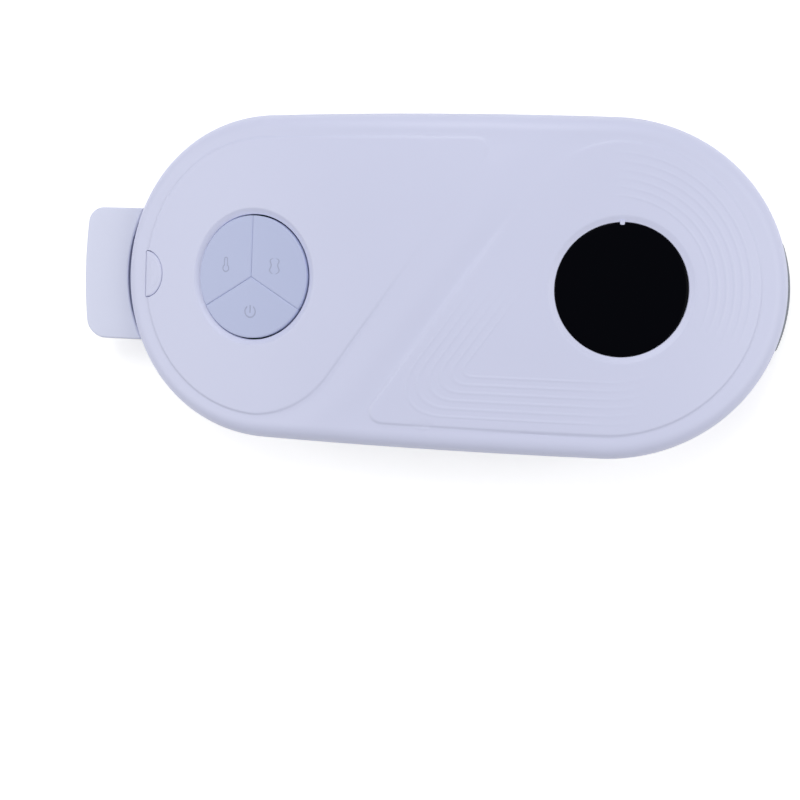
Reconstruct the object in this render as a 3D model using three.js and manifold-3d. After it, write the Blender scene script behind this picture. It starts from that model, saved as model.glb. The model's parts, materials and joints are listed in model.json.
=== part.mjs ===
// Heated abdominal massager: a curved housing on an elastic waist belt, lying on its back.
// Millimetres, +X along the housing, +Y across it, +Z out of the front face, floor at z = 0.
// Most pieces are laid out on the unrolled front face as (s, y, h), where s runs along the
// curve, y across it and h out of it, and are then bent round a cylinder parallel to Y.

import * as THREE from 'three';
import { mergeVertices } from 'three/addons/utils/BufferGeometryUtils.js';
import Module from 'manifold-3d';

const wasm = await Module();
wasm.setup();

// Driving dimensions of the housing.
const FACE_RADIUS = 340;
const BODY_LENGTH = 232.2;
const BODY_WIDTH = 108;
const FRONT_DEPTH = 11;
const BACK_DEPTH = 20.5;
const EDGE_ROUND = 5.6;
const BACK_ROUND = 5;
const FACE_WALL = 2.2;
const SIDE_WALL = 2.3;
const LIP_DEPTH = 1.6;
const LIP_WALL = 1;
const PART_GAP = 0.3;
const OVERRUN = 2;

// Relief of the front face: two teardrop creases, one the other turned half round.
const CREASE_RADIUS = 46.2;
const CREASE_CENTRE = 57.8;
const CREASE_TURN_PLACE = 60.5;
const CREASE_TURN_RADIUS = 34.5;
const CREASE_DEPTH = 0.45;
const CREASE_HALF_WIDTH = 0.9;

// Keys, display and release button.
const ROUND_PLACE_SHARE = 0.5288;
const KEY_OPENING_RADIUS = 20.9;
const KEY_GAP = 0.3;
const KEY_SPLIT = 0.5;
const KEY_RECESS = 0.7;
const KEY_FLANGE = 1.1;
const KEY_FLANGE_DEPTH = 1;
const KEY_STEM_RADIUS = 1.7;
const KEY_TRAVEL = 0.6;
const KEY_EDGE = 0.3;
const BEVEL_WIDTH = 1.5;
const BEVEL_DEPTH = 0.6;
const LENS_OPENING_RADIUS = 21.1;
const LENS_GAP = 0.3;
const LENS_RECESS = 1;
const LENS_THICKNESS = 1.6;
const LENS_EDGE = 0.35;
const FRAME_DEPTH = 4.6;
const FRAME_WALL = 1.6;
const LED_LENGTH = 25;
const LED_WIDTH = 15;
const LED_DEPTH = 3.4;
const RELEASE_INSET = 10.3;
const RELEASE_RADIUS = 8;
const RELEASE_GAP = 0.3;
const RELEASE_FLANGE = 1.1;
const RELEASE_TRAVEL = 2.4;

// Boards and what they carry.
const BOARD_THICKNESS = 1.6;
const KEY_BOARD_DEPTH = 11;
const KEY_BOARD_REACH = 19;
const KEY_BOARD_CLEARANCE = 2;
const KEY_BOARD_WIDTH_SHARE = 0.815;
const SWITCH_SIZE = 6.2;
const SWITCH_HEIGHT = 3.2;
const PLUNGER_RADIUS = 1.5;
const PLUNGER_HEIGHT = 1.4;
const CARRIER_THICKNESS = 1.2;
const RIBBON_WIDTH = 10;
const RIBBON_THICKNESS = 0.4;
const USB_LENGTH = 7.4;
const USB_WIDTH = 9;
const USB_HEIGHT = 3.2;
const USB_WALL = 0.3;
const USB_TONGUE_THICKNESS = 0.7;

// Power, vibration and heat.
const CELL_LENGTH_SHARE = 0.155;
const CELL_SIDE_INSET = 23;
const CELL_HEIGHT = 7.6;
const CELL_ROUND = 2.4;
const TRAY_WALL = 1.4;
const MOTOR_PLACE_SHARE = 0.2627;
const MOTOR_RADIUS = 4.6;
const MOTOR_LENGTH = 15;
const MOTOR_SHAFT_RADIUS = 0.8;
const MOTOR_BORE_GAP = 0.25;
const WEIGHT_RADIUS = 4;
const WEIGHT_LENGTH = 5;
const CLAMP_WALL = 1.4;
const PAD_INSET = 5;
const PAD_THICKNESS = 4.2;
const PAD_WALL = 1.9;
const PAD_ROUND = 2.2;
const FOAM_THICKNESS = 1.2;
const FILM_THICKNESS = 0.4;
const BUMP_RADIUS = 7.5;
const BUMP_HEIGHT = 2.2;
const BUMP_S = 52;
const BUMP_Y = 30;

// Buckle and latch.
const TAB_REACH = 20.7;
const TAB_STANDOFF = 3.7;
const TAB_HALF_WIDTH = 23.6;
const TAB_DEPTH = 7;
const TAB_THICKNESS = 4.6;
const TAB_CORNER = 6;
const TAB_CROWN = 1.3;
const TONGUE_REACH = 18.5;
const TONGUE_HALF_WIDTH = 16.8;
const TONGUE_THICKNESS = 2;
const TONGUE_WINDOW_LENGTH = 6;
const TONGUE_WINDOW_WIDTH = 11;
const SOCKET_WALL = 1.2;
const SOCKET_GAP = 0.35;
const LEAF_THICKNESS = 0.9;
const LEAF_WIDTH = 9;
const BUCKLE_BAR_RADIUS = 1.9;
const BUCKLE_BAR_REACH = 7;

// Waist belt.
const BELT_WIDTH = 36;
const BELT_THICKNESS = 2;
const BELT_LAYER_GAP = 0.35;
const BELT_FOLD_REACH = 50;
const BELT_STANDOFF = 3.1;
const BELT_ANCHOR_INSET = 20;
const BELT_EXIT_DEPTH = 14.6;
const ANCHOR_THICKNESS = 1.6;
const ANCHOR_LENGTH = 8;

// Fasteners.
const SCREW_RADIUS = 1.25;
const SCREW_HEAD_RADIUS = 2.5;
const SCREW_HEAD_HEIGHT = 1.6;
const BOSS_RADIUS = 3.3;
const SCREW_END_SHARE = 0.7407;
const SCREW_SIDE_INSET = 19;
const SCREW_MID_INSET = 9.5;
const SMALL_SCREW_RADIUS = 0.9;
const SMALL_HEAD_RADIUS = 1.7;
const SMALL_HEAD_HEIGHT = 0.9;
const SMALL_SCREW_LENGTH = 5;

// Facet counts.
const CAP_STEPS = 14;
const STRAIGHT_STEPS = 7;
const ROUND_SIDES = 30;
const SMALL_SIDES = 10;
const BUMP_SIDES = 14;
const BELT_STATIONS = 4;
const DOME_STEPS = 4;
const SECTOR_STEPS = 10;
const EDGE_STEPS = 4;
const CURL_STEPS = 9;
const FOLD_STEPS = 6;
const FLAT_STEPS = 4;
const TAB_STEPS = 8;
const CORNER_STEPS = 3;

// Shares of the size that they multiply.
const CAP_STRETCH_SHARE = 1.0815;
const BELT_FILL_SHARE = 0.75;
const CREASE_STRETCH_SHARE = 1.039;
const CORNER_SHARE = 0.98;
const KEY_MIDDLE_SHARE = 0.56;
const FRAME_INNER_SHARE = 0.8;
const MOTOR_EDGE_SHARE = 0.1;
const CLAMP_LENGTH_SHARE = 0.6;

const quarter = Math.PI / 2;

// Worked out from the sizes above.
const HALF_WIDTH = BODY_WIDTH / 2;
const HALF_LENGTH = BODY_LENGTH / 2;
const CAP_PLACE = HALF_LENGTH - HALF_WIDTH * CAP_STRETCH_SHARE;
const ROUND_PLACE = HALF_LENGTH * ROUND_PLACE_SHARE;
const RELEASE_PLACE = HALF_LENGTH - RELEASE_INSET;
const MOTOR_PLACE = HALF_LENGTH * MOTOR_PLACE_SHARE;
const CELL_LENGTH = BODY_LENGTH * CELL_LENGTH_SHARE;
const KEY_BOARD_WIDTH = BODY_WIDTH * KEY_BOARD_WIDTH_SHARE;
const CELL_WIDTH = BODY_WIDTH - 2 * CELL_SIDE_INSET;
const SCREW_END_S = HALF_LENGTH * SCREW_END_SHARE;
const KEY_BOARD_ROOM = SCREW_END_S - BOSS_RADIUS - KEY_BOARD_CLEARANCE - ROUND_PLACE;
const KEY_BOARD_LENGTH = 2 * Math.min(KEY_BOARD_REACH, KEY_BOARD_ROOM);
const SCREW_END_Y = HALF_WIDTH - SCREW_SIDE_INSET;
const SCREW_MID_Y = HALF_WIDTH - SCREW_MID_INSET;
const BELT_ANCHOR_PLACE = HALF_LENGTH - BELT_ANCHOR_INSET;
const FRONT_INNER = -FACE_WALL;
const PARTING = -FRONT_DEPTH;
const BACK_OUTER = -BACK_DEPTH;
const BACK_INNER = BACK_OUTER + FACE_WALL;
const PAD_TOP = BACK_OUTER - PART_GAP;
const PAD_BOTTOM = PAD_TOP - PAD_THICKNESS;
const PAD_END_ANGLE = (BODY_LENGTH / 2 - PAD_INSET) / FACE_RADIUS;
const PAD_EDGE_DROP = FACE_RADIUS - (FACE_RADIUS + PAD_BOTTOM) * Math.cos(PAD_END_ANGLE);
const APEX_Z = BELT_THICKNESS + PART_GAP + PAD_EDGE_DROP;
const AXIS_Z = APEX_Z - FACE_RADIUS;
const END_ANGLE = HALF_LENGTH / FACE_RADIUS;
const END_REACH = (FACE_RADIUS - TAB_DEPTH) * Math.sin(END_ANGLE);
const TAB_TOP_Z = AXIS_Z + (FACE_RADIUS - TAB_DEPTH) * Math.cos(END_ANGLE);
const TAB_OUTER = END_REACH + TAB_REACH;
const TAB_INNER = END_REACH + TAB_STANDOFF;
const TONGUE_END = END_REACH - TONGUE_REACH;
const BELT_OUTER = END_REACH + BELT_STANDOFF;
const ARCH_HEIGHT = APEX_Z + PAD_BOTTOM - BUMP_HEIGHT;
const BELT_PAIR_HEIGHT = 2 * (BELT_THICKNESS + BELT_LAYER_GAP);
const BELT_LAYERS = 1 + 2 * Math.floor((ARCH_HEIGHT * BELT_FILL_SHARE) / BELT_PAIR_HEIGHT);

// Bends a point of the unrolled face round the cylinder.
function bend(s, y, h) {
  const angle = s / FACE_RADIUS;
  const radius = FACE_RADIUS + h;
  return new THREE.Vector3(radius * Math.sin(angle), y, AXIS_Z + radius * Math.cos(angle));
}

// Turns a list of rings, each with as many points, into a closed surface. A first or last
// ring that folds onto a line or a point closes the surface there, and looped rings join up.
function loft(rings, looped = false) {
  const count = rings[0].length;
  const positions = [];
  const indices = [];
  for (const ring of rings) {
    for (const p of ring) positions.push(p.x, p.y, p.z);
  }
  const spans = looped ? rings.length : rings.length - 1;
  for (let k = 0; k < spans; k += 1) {
    const next = (k + 1) % rings.length;
    for (let i = 0; i < count; i += 1) {
      const j = (i + 1) % count;
      const a = k * count + i;
      const b = k * count + j;
      const c = next * count + j;
      const d = next * count + i;
      indices.push(a, b, c, a, c, d);
    }
  }
  const geometry = new THREE.BufferGeometry();
  geometry.setAttribute('position', new THREE.Float32BufferAttribute(positions, 3));
  geometry.setIndex(indices);
  return tidied(geometry);
}

// Merges equal vertices, drops triangles without area and turns the faces outwards.
function tidied(source) {
  const bare = source.clone();
  bare.deleteAttribute('normal');
  bare.deleteAttribute('uv');
  const geometry = mergeVertices(bare, 1e-4);
  const index = Array.from(geometry.index.array);
  const kept = [];
  for (let k = 0; k < index.length; k += 3) {
    const [a, b, c] = index.slice(k, k + 3);
    if (a !== b && b !== c && c !== a) kept.push(a, b, c);
  }
  const p = geometry.attributes.position;
  const corner = (i) => new THREE.Vector3().fromBufferAttribute(p, i);
  let volume = 0;
  for (let k = 0; k < kept.length; k += 3) {
    volume += corner(kept[k]).dot(corner(kept[k + 1]).cross(corner(kept[k + 2])));
  }
  if (volume < 0) kept.reverse();
  geometry.setIndex(kept);
  return geometry;
}

// A geometry as a solid that can be joined and cut, and back again.
function solid(source) {
  const geometry = tidied(source);
  return new wasm.Manifold(new wasm.Mesh({
    numProp: 3,
    vertProperties: new Float32Array(geometry.attributes.position.array),
    triVerts: new Uint32Array(geometry.index.array),
  }));
}

function shape(body) {
  const mesh = body.getMesh();
  const geometry = new THREE.BufferGeometry();
  geometry.setAttribute('position', new THREE.BufferAttribute(new Float32Array(mesh.vertProperties), 3));
  geometry.setIndex(new THREE.BufferAttribute(new Uint32Array(mesh.triVerts), 1));
  return geometry;
}

// A copy of a geometry carried by a matrix.
function carried(geometry, matrix) {
  const copy = geometry.clone();
  copy.applyMatrix4(matrix);
  return copy;
}

// The frame that touches the bent face at s: local +Z out of the face, local X along it.
function faceFrame(s, y = 0, h = 0) {
  const at = bend(s, y, h);
  const turned = new THREE.Matrix4().makeRotationY(s / FACE_RADIUS);
  return turned.setPosition(at.x, at.y, at.z);
}

// How far the housing's oval end falls back at y, beside the middle of the end.
function endFall(y) {
  return HALF_WIDTH * CAP_STRETCH_SHARE * (1 - Math.sqrt(1 - (y / HALF_WIDTH) ** 2));
}

// The housing's outline moved inwards by inset, as [s, y] pairs.
function stadium(inset) {
  const radius = Math.max(HALF_WIDTH - inset, 0);
  const reach = radius * CAP_STRETCH_SHARE;
  const points = [];
  for (const side of [1, -1]) {
    for (let i = 0; i <= CAP_STEPS; i += 1) {
      const angle = -Math.PI / 2 + (Math.PI * i) / CAP_STEPS;
      points.push([side * (CAP_PLACE + reach * Math.cos(angle)), side * radius * Math.sin(angle)]);
    }
    for (let i = 1; i < STRAIGHT_STEPS; i += 1) {
      points.push([side * CAP_PLACE * (1 - (2 * i) / STRAIGHT_STEPS), side * radius]);
    }
  }
  return points;
}

// A bent body of the housing's outline: profile is a list of [inset, h] from the middle
// line over the outside and back to the middle line.
function stadiumBody(profile) {
  return loft(profile.map(([inset, h]) => stadium(inset).map(([s, y]) => bend(s, y, h))));
}

// Insets that lead from the middle line to the edge, so that flat faces follow the bend.
const SPREAD_SHARES = [1, 0.66, 0.33];
function spread(inset, h) {
  return SPREAD_SHARES.map((share) => [inset + (HALF_WIDTH - inset) * share, h]);
}

// A quarter round in the (inset, h) plane, between two directions.
function roundProfile(centreInset, centreH, radius, from, to, steps) {
  const points = [];
  for (let i = 0; i <= steps; i += 1) {
    const angle = from + ((to - from) * i) / steps;
    points.push([centreInset - radius * Math.cos(angle), centreH + radius * Math.sin(angle)]);
  }
  return points;
}

// A turned body about local Z: profile is a list of [radius, z] that starts and ends on the axis.
function turned(profile, sides = ROUND_SIDES) {
  const points = profile.map(([r, z]) => new THREE.Vector2(r, z));
  const geometry = new THREE.LatheGeometry(points, sides);
  geometry.rotateX(Math.PI / 2);
  return tidied(geometry);
}

// A round rod along local Z.
function rod(radius, low, high, sides = SMALL_SIDES) {
  return turned([[0, low], [radius, low], [radius, high], [0, high]], sides);
}

// A block between two corners.
function block(x0, y0, z0, x1, y1, z1) {
  const geometry = new THREE.BoxGeometry(x1 - x0, y1 - y0, z1 - z0);
  geometry.translate((x0 + x1) / 2, (y0 + y1) / 2, (z0 + z1) / 2);
  return geometry;
}

// A plate of any outline between two heights.
function plate(outline, low, high) {
  const geometry = new THREE.ExtrudeGeometry(outline, {
    depth: high - low,
    bevelEnabled: false,
    curveSegments: CORNER_STEPS,
  });
  geometry.translate(0, 0, low);
  return geometry;
}

// A rectangle with round corners.
function roundedOutline(x0, y0, x1, y1, corner) {
  const outline = new THREE.Shape();
  outline.moveTo(x0 + corner, y0);
  outline.lineTo(x1 - corner, y0);
  outline.absarc(x1 - corner, y0 + corner, corner, -Math.PI / 2, 0, false);
  outline.lineTo(x1, y1 - corner);
  outline.absarc(x1 - corner, y1 - corner, corner, 0, Math.PI / 2, false);
  outline.lineTo(x0 + corner, y1);
  outline.absarc(x0 + corner, y1 - corner, corner, Math.PI / 2, Math.PI, false);
  outline.lineTo(x0, y0 + corner);
  outline.absarc(x0 + corner, y0 + corner, corner, Math.PI, 3 * quarter, false);
  return outline;
}

// Materials.
const finish = {
  shell: [0xdcdeef, 0.42, 0],
  key: [0xb9c0dd, 0.5, 0],
  lens: [0x07080b, 0.08, 0],
  pad: [0xc9ccd8, 0.8, 0],
  foam: [0xe8e4d8, 0.95, 0],
  film: [0xb87a2c, 0.5, 0.2],
  board: [0x1f6b3a, 0.6, 0],
  dark: [0x2a2b30, 0.6, 0],
  steel: [0xb8bcc2, 0.35, 1],
  brass: [0xc79a4a, 0.4, 1],
  cell: [0x9aa4ae, 0.5, 0.4],
  belt: [0x8b939d, 0.9, 0],
  light: [0xf2f2ee, 0.6, 0],
};
const massager = new THREE.Group();

function add(name, geometry, look, matrix = new THREE.Matrix4()) {
  const [color, roughness, metalness] = finish[look];
  const material = new THREE.MeshStandardMaterial({ color, roughness, metalness });
  const mesh = new THREE.Mesh(tidied(geometry), material);
  mesh.name = name;
  mesh.applyMatrix4(matrix);
  massager.add(mesh);
  return mesh;
}

const keyFrame = faceFrame(-ROUND_PLACE);
const lensFrame = faceFrame(ROUND_PLACE);
const releaseFrame = faceFrame(-RELEASE_PLACE);
const inFrame = (geometry, matrix) => solid(carried(geometry, matrix));

// How far the bent face falls below its touching plane, at a distance along it.
function faceDrop(x) {
  return Math.sqrt(FACE_RADIUS * FACE_RADIUS - x * x) - FACE_RADIUS;
}

// Teardrop crease: a round end about the key pad, a straight tail along the top edge and a
// slanted side that fades out towards the middle of the face. Points are [s, y, depth share].
const TAIL_SHARE = 0.36;
const TAIL_SHARES = [1, 0.5, 0, -0.5];
const FADE_SHARE = 0.3;
const SWEEP_SHARE = 0.982;
const SWEEP_STEPS = 13;
const TURN_ANGLE = 0.967;
const TURN_STEPS = 4;
const SLANT_RUN = 52;
const SLANT_STEPS = 5;
const SLANT_END_SHARE = 0.12;
const THIN_SHARE = 0.4;
function creasePath() {
  const path = [];
  const tail = CREASE_CENTRE * TAIL_SHARE;
  for (const share of TAIL_SHARES) {
    path.push([tail * share, CREASE_RADIUS, share === 1 ? FADE_SHARE : 1]);
  }
  const reach = CREASE_RADIUS * CREASE_STRETCH_SHARE;
  for (let i = 0; i <= SWEEP_STEPS; i += 1) {
    const angle = quarter + (i * Math.PI * SWEEP_SHARE) / SWEEP_STEPS;
    path.push([-CREASE_CENTRE + reach * Math.cos(angle), CREASE_RADIUS * Math.sin(angle), 1]);
  }
  const turnMiddle = CREASE_TURN_RADIUS - CREASE_RADIUS;
  let s = 0;
  let y = 0;
  for (let i = 1; i <= TURN_STEPS; i += 1) {
    const angle = (TURN_ANGLE * i) / TURN_STEPS;
    s = -CREASE_TURN_PLACE + CREASE_TURN_RADIUS * Math.sin(angle);
    y = turnMiddle - CREASE_TURN_RADIUS * Math.cos(angle);
    path.push([s, y, 1]);
  }
  for (let i = 1; i <= SLANT_STEPS; i += 1) {
    const run = (SLANT_RUN * i) / SLANT_STEPS;
    const depth = 1 - (1 - SLANT_END_SHARE) * (i / SLANT_STEPS) ** 2;
    path.push([s + run * Math.cos(TURN_ANGLE), y + run * Math.sin(TURN_ANGLE), depth]);
  }
  return path;
}

// The crease as a bent wedge that cuts the face, turned half round for the second one.
function creaseCutter(turnedHalf) {
  const sign = turnedHalf ? -1 : 1;
  const path = creasePath().map(([s, y, depth]) => [sign * s, sign * y, depth]);
  const rings = path.map(([s, y, depth], i) => {
    const before = path[Math.max(i - 1, 0)];
    const after = path[Math.min(i + 1, path.length - 1)];
    const along = new THREE.Vector2(after[0] - before[0], after[1] - before[1]).normalize();
    const wide = CREASE_HALF_WIDTH * (THIN_SHARE + (1 - THIN_SHARE) * depth);
    const lift = wide / 2;
    const cut = CREASE_DEPTH * depth;
    const flare = (wide * (cut + lift)) / cut;
    return [[-flare, lift], [0, -cut], [flare, lift]].map(
      ([off, h]) => bend(s - along.y * off, y + along.x * off, h),
    );
  });
  const first = rings[0].map(() => centreOf(rings[0]));
  const last = rings[0].map(() => centreOf(rings[rings.length - 1]));
  return loft([first, ...rings, last]);
}

function centreOf(points) {
  return points.reduce((sum, p) => sum.add(p), new THREE.Vector3()).multiplyScalar(1 / points.length);
}

// A small screw along local Z: head at the low end, shank upwards.
function screwBody(radius, headRadius, headHeight, low, high) {
  return turned([
    [0, low], [headRadius, low], [headRadius, low + headHeight],
    [radius, low + headHeight], [radius, high], [0, high],
  ], SMALL_SIDES);
}
function holeAt(x, y, radius, low, high) {
  const hole = rod(radius, low, high);
  hole.translate(x, y, 0);
  return solid(hole);
}

let screwNumber = 0;
function addScrew(kind, geometry, matrix) {
  screwNumber += 1;
  add(`${kind}_screw_${screwNumber}`, geometry, 'steel', matrix);
}

// Front shell: a bent bowl with a round edge, a lip for the back shell, the openings of the
// keys, the display and the release button, screw bosses and the two creases.
const shellOuter = [
  ...spread(EDGE_ROUND, 0),
  ...roundProfile(EDGE_ROUND, -EDGE_ROUND, EDGE_ROUND, quarter, 0, EDGE_STEPS),
  [0, PARTING],
];
const lipInset = SIDE_WALL - LIP_WALL - PART_GAP / 2;
const frontProfile = [
  ...shellOuter,
  [lipInset, PARTING],
  [lipInset, PARTING + LIP_DEPTH],
  [SIDE_WALL, PARTING + LIP_DEPTH],
  [SIDE_WALL, -EDGE_ROUND],
  ...roundProfile(EDGE_ROUND, -EDGE_ROUND, EDGE_ROUND - SIDE_WALL, 0, quarter, 2),
  ...spread(EDGE_ROUND, FRONT_INNER).reverse(),
];

// Screw places as [s, y].
const screwPlaces = [
  [-SCREW_END_S, SCREW_END_Y], [-SCREW_END_S, -SCREW_END_Y],
  [SCREW_END_S, SCREW_END_Y], [SCREW_END_S, -SCREW_END_Y],
  [0, SCREW_MID_Y], [0, -SCREW_MID_Y],
];
const bossEnd = PARTING - PART_GAP / 2;
const SCREW_GAP = 0.2;
const SCREW_BITE = 6;

// The opening of a round insert, with the bevel that leads down to it.
function roundOpening(radius) {
  return turned([
    [0, FRONT_INNER - OVERRUN],
    [radius, FRONT_INNER - OVERRUN],
    [radius, -BEVEL_DEPTH],
    [radius + BEVEL_WIDTH, 0],
    [radius + BEVEL_WIDTH, OVERRUN / 2],
    [0, OVERRUN / 2],
  ]);
}

// The half round of the release button, grown by a margin, between two heights.
function releaseOutline(margin) {
  const radius = RELEASE_RADIUS + margin;
  const outline = new THREE.Shape();
  outline.moveTo(-margin, -radius);
  outline.absarc(-margin, 0, radius, -quarter, quarter, false);
  outline.lineTo(-margin, -radius);
  return outline;
}

function usbCutter(margin, low, high) {
  const half = USB_WIDTH / 2 + margin;
  const tall = USB_HEIGHT / 2 + margin;
  const outline = roundedOutline(-half, -tall, half, tall, tall * CORNER_SHARE);
  const across = plate(outline, low, high);
  across.rotateX(quarter);
  return across;
}
const usbDepth = KEY_BOARD_DEPTH - USB_HEIGHT / 2 - PART_GAP;
const usbMatrix = faceFrame(-ROUND_PLACE, 0, -usbDepth);

let frontShell = solid(stadiumBody(frontProfile));
for (const [s, y] of screwPlaces) {
  const frame = faceFrame(s, y);
  frontShell = frontShell.add(inFrame(rod(BOSS_RADIUS, bossEnd, FRONT_INNER + FACE_WALL / 4), frame));
  frontShell = frontShell.subtract(
    inFrame(rod(SCREW_RADIUS + SCREW_GAP, bossEnd - OVERRUN, bossEnd + SCREW_BITE), frame),
  );
}
frontShell = frontShell
  .subtract(inFrame(roundOpening(KEY_OPENING_RADIUS), keyFrame))
  .subtract(inFrame(roundOpening(LENS_OPENING_RADIUS), lensFrame))
  .subtract(inFrame(plate(releaseOutline(0), FRONT_INNER - OVERRUN, OVERRUN), releaseFrame));
for (const turnedHalf of [false, true]) {
  frontShell = frontShell.subtract(solid(creaseCutter(turnedHalf)));
}

// Back shell: the rear half of the housing with the tongue that enters the front lip,
// screw pillars, the buckle slot, the belt slot and the charging port's window.
const backLip = SIDE_WALL - LIP_WALL + PART_GAP / 2;
const backProfile = [
  ...spread(SIDE_WALL, BACK_INNER),
  [SIDE_WALL, BACK_INNER],
  [SIDE_WALL, PARTING + LIP_DEPTH - PART_GAP],
  [backLip, PARTING + LIP_DEPTH - PART_GAP],
  [backLip, PARTING - PART_GAP],
  [0, PARTING - PART_GAP],
  ...roundProfile(BACK_ROUND, BACK_OUTER + BACK_ROUND, BACK_ROUND, 0, -quarter, 3),
  ...spread(BACK_ROUND, BACK_OUTER).reverse().slice(1),
];
let backShell = solid(stadiumBody(backProfile));
for (const [s, y] of screwPlaces) {
  const frame = faceFrame(s, y);
  const seat = BACK_OUTER + SCREW_HEAD_HEIGHT + PART_GAP;
  backShell = backShell
    .add(inFrame(rod(BOSS_RADIUS, BACK_INNER - FACE_WALL / 2, bossEnd - PART_GAP), frame))
    .subtract(inFrame(rod(SCREW_RADIUS + SCREW_GAP, BACK_OUTER - OVERRUN, bossEnd + OVERRUN), frame))
    .subtract(inFrame(rod(SCREW_HEAD_RADIUS + SCREW_GAP, BACK_OUTER - OVERRUN, seat), frame));
}

// Buckle: a level tab outside the housing with the tongue that slides into its socket.
const tabMiddleZ = TAB_TOP_Z - TAB_THICKNESS / 2;
const tongueTop = tabMiddleZ + TONGUE_THICKNESS / 2;
const tongueLow = tabMiddleZ - TONGUE_THICKNESS / 2;
const socketTop = tongueTop + SOCKET_GAP + SOCKET_WALL;
const socketHalf = TONGUE_HALF_WIDTH + SOCKET_GAP + SOCKET_WALL;
const slotOpening = block(
  -TAB_OUTER, -TONGUE_HALF_WIDTH - SOCKET_GAP, tongueLow - SOCKET_GAP,
  -TONGUE_END, TONGUE_HALF_WIDTH + SOCKET_GAP, tongueTop + SOCKET_GAP,
);

// Belt slot in the right end, level with the belt's inner end.
const BELT_SLOT_GAP = 0.3;

backShell = backShell.subtract(solid(slotOpening));
frontShell = frontShell.subtract(solid(block(
  -TAB_OUTER, -TONGUE_HALF_WIDTH - SOCKET_GAP, 0,
  -TONGUE_END, TONGUE_HALF_WIDTH + SOCKET_GAP, tongueTop + SOCKET_GAP,
)));
backShell = backShell.subtract(inFrame(usbCutter(PART_GAP, 0, BODY_WIDTH), usbMatrix));
frontShell = frontShell.subtract(inFrame(usbCutter(PART_GAP, 0, BODY_WIDTH), usbMatrix));

// Belt: a folded ribbon. Its middle line in the XZ plane starts inside the right end, leaves
// through the belt slot, curls under the housing and lies in layers in the arch.
class BeltLine {
  constructor(x, z, heading) {
    this.at = new THREE.Vector2(x, z);
    this.heading = heading;
    this.points = [[x, z, heading]];
  }

  run(length, steps = 1) {
    for (let i = 0; i < steps; i += 1) {
      this.at.x += (Math.cos(this.heading) * length) / steps;
      this.at.y += (Math.sin(this.heading) * length) / steps;
      this.points.push([this.at.x, this.at.y, this.heading]);
    }
    return this;
  }

  turn(radius, angle, steps) {
    const side = Math.sign(angle);
    const cx = this.at.x - side * radius * Math.sin(this.heading);
    const cz = this.at.y + side * radius * Math.cos(this.heading);
    for (let i = 1; i <= steps; i += 1) {
      const heading = this.heading + (angle * i) / steps;
      const reach = side * radius;
      this.points.push([cx + reach * Math.sin(heading), cz - reach * Math.cos(heading), heading]);
    }
    const last = this.points[this.points.length - 1];
    this.at.set(last[0], last[1]);
    this.heading = last[2];
    return this;
  }
}

// The ribbon round a middle line: across the belt its right end follows the housing's end.
function ribbon(line, endBulge, grow = 0) {
  const rings = [];
  for (let k = 0; k <= BELT_STATIONS; k += 1) {
    const y = ((BELT_WIDTH + 2 * grow) * (k - BELT_STATIONS / 2)) / BELT_STATIONS;
    const fall = endFall(y);
    const edge = (offset) => ([x, z, heading]) => {
      const share = endBulge ? THREE.MathUtils.smoothstep(x, BELT_FOLD_REACH, BELT_ANCHOR_PLACE) : 0;
      const shifted = x - fall * share;
      return new THREE.Vector3(shifted - Math.sin(heading) * offset, y, z + Math.cos(heading) * offset);
    };
    const upper = line.points.map(edge(BELT_THICKNESS / 2 + grow));
    const lower = line.points.map(edge(-BELT_THICKNESS / 2 - grow)).reverse();
    rings.push([...upper, ...lower]);
  }
  return cappedStrip(rings, line.points.length);
}

// Closes the two long ends of a ribbon with quads between its upper and lower edges.
function cappedStrip(rings, half) {
  const count = rings[0].length;
  const positions = [];
  const indices = [];
  for (const ring of rings) {
    for (const p of ring) positions.push(p.x, p.y, p.z);
  }
  for (let k = 0; k + 1 < rings.length; k += 1) {
    for (let i = 0; i < count; i += 1) {
      const j = (i + 1) % count;
      const a = k * count + i;
      const b = k * count + j;
      const c = (k + 1) * count + j;
      const d = (k + 1) * count + i;
      indices.push(a, b, c, a, c, d);
    }
  }
  for (const [k, flip] of [[0, true], [rings.length - 1, false]]) {
    for (let i = 0; i + 1 < half; i += 1) {
      const a = k * count + i;
      const b = k * count + i + 1;
      const c = k * count + count - 2 - i;
      const d = k * count + count - 1 - i;
      if (flip) indices.push(a, c, b, a, d, c);
      else indices.push(a, b, c, a, c, d);
    }
  }
  const geometry = new THREE.BufferGeometry();
  geometry.setAttribute('position', new THREE.Float32BufferAttribute(positions, 3));
  geometry.setIndex(indices);
  return tidied(geometry);
}

const exitPlace = BODY_LENGTH / 2 + BELT_THICKNESS / 4;
const exitPoint = bend(exitPlace, 0, -BELT_EXIT_DEPTH);
const exitHeading = -exitPlace / FACE_RADIUS;
const innerRun = exitPlace - BELT_ANCHOR_PLACE;
const floorLine = BELT_THICKNESS / 2;
const curlRadius = (exitPoint.z - floorLine) / (1 + Math.cos(exitHeading));
const curlMiddleX = exitPoint.x + curlRadius * Math.sin(exitHeading);
const curlPush = BELT_OUTER - BELT_THICKNESS / 2 - curlRadius - curlMiddleX;
const layerPitch = BELT_THICKNESS + BELT_LAYER_GAP;
const BELT_SLOPE = 0.5;
const BELT_SEAM = 92;

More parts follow.
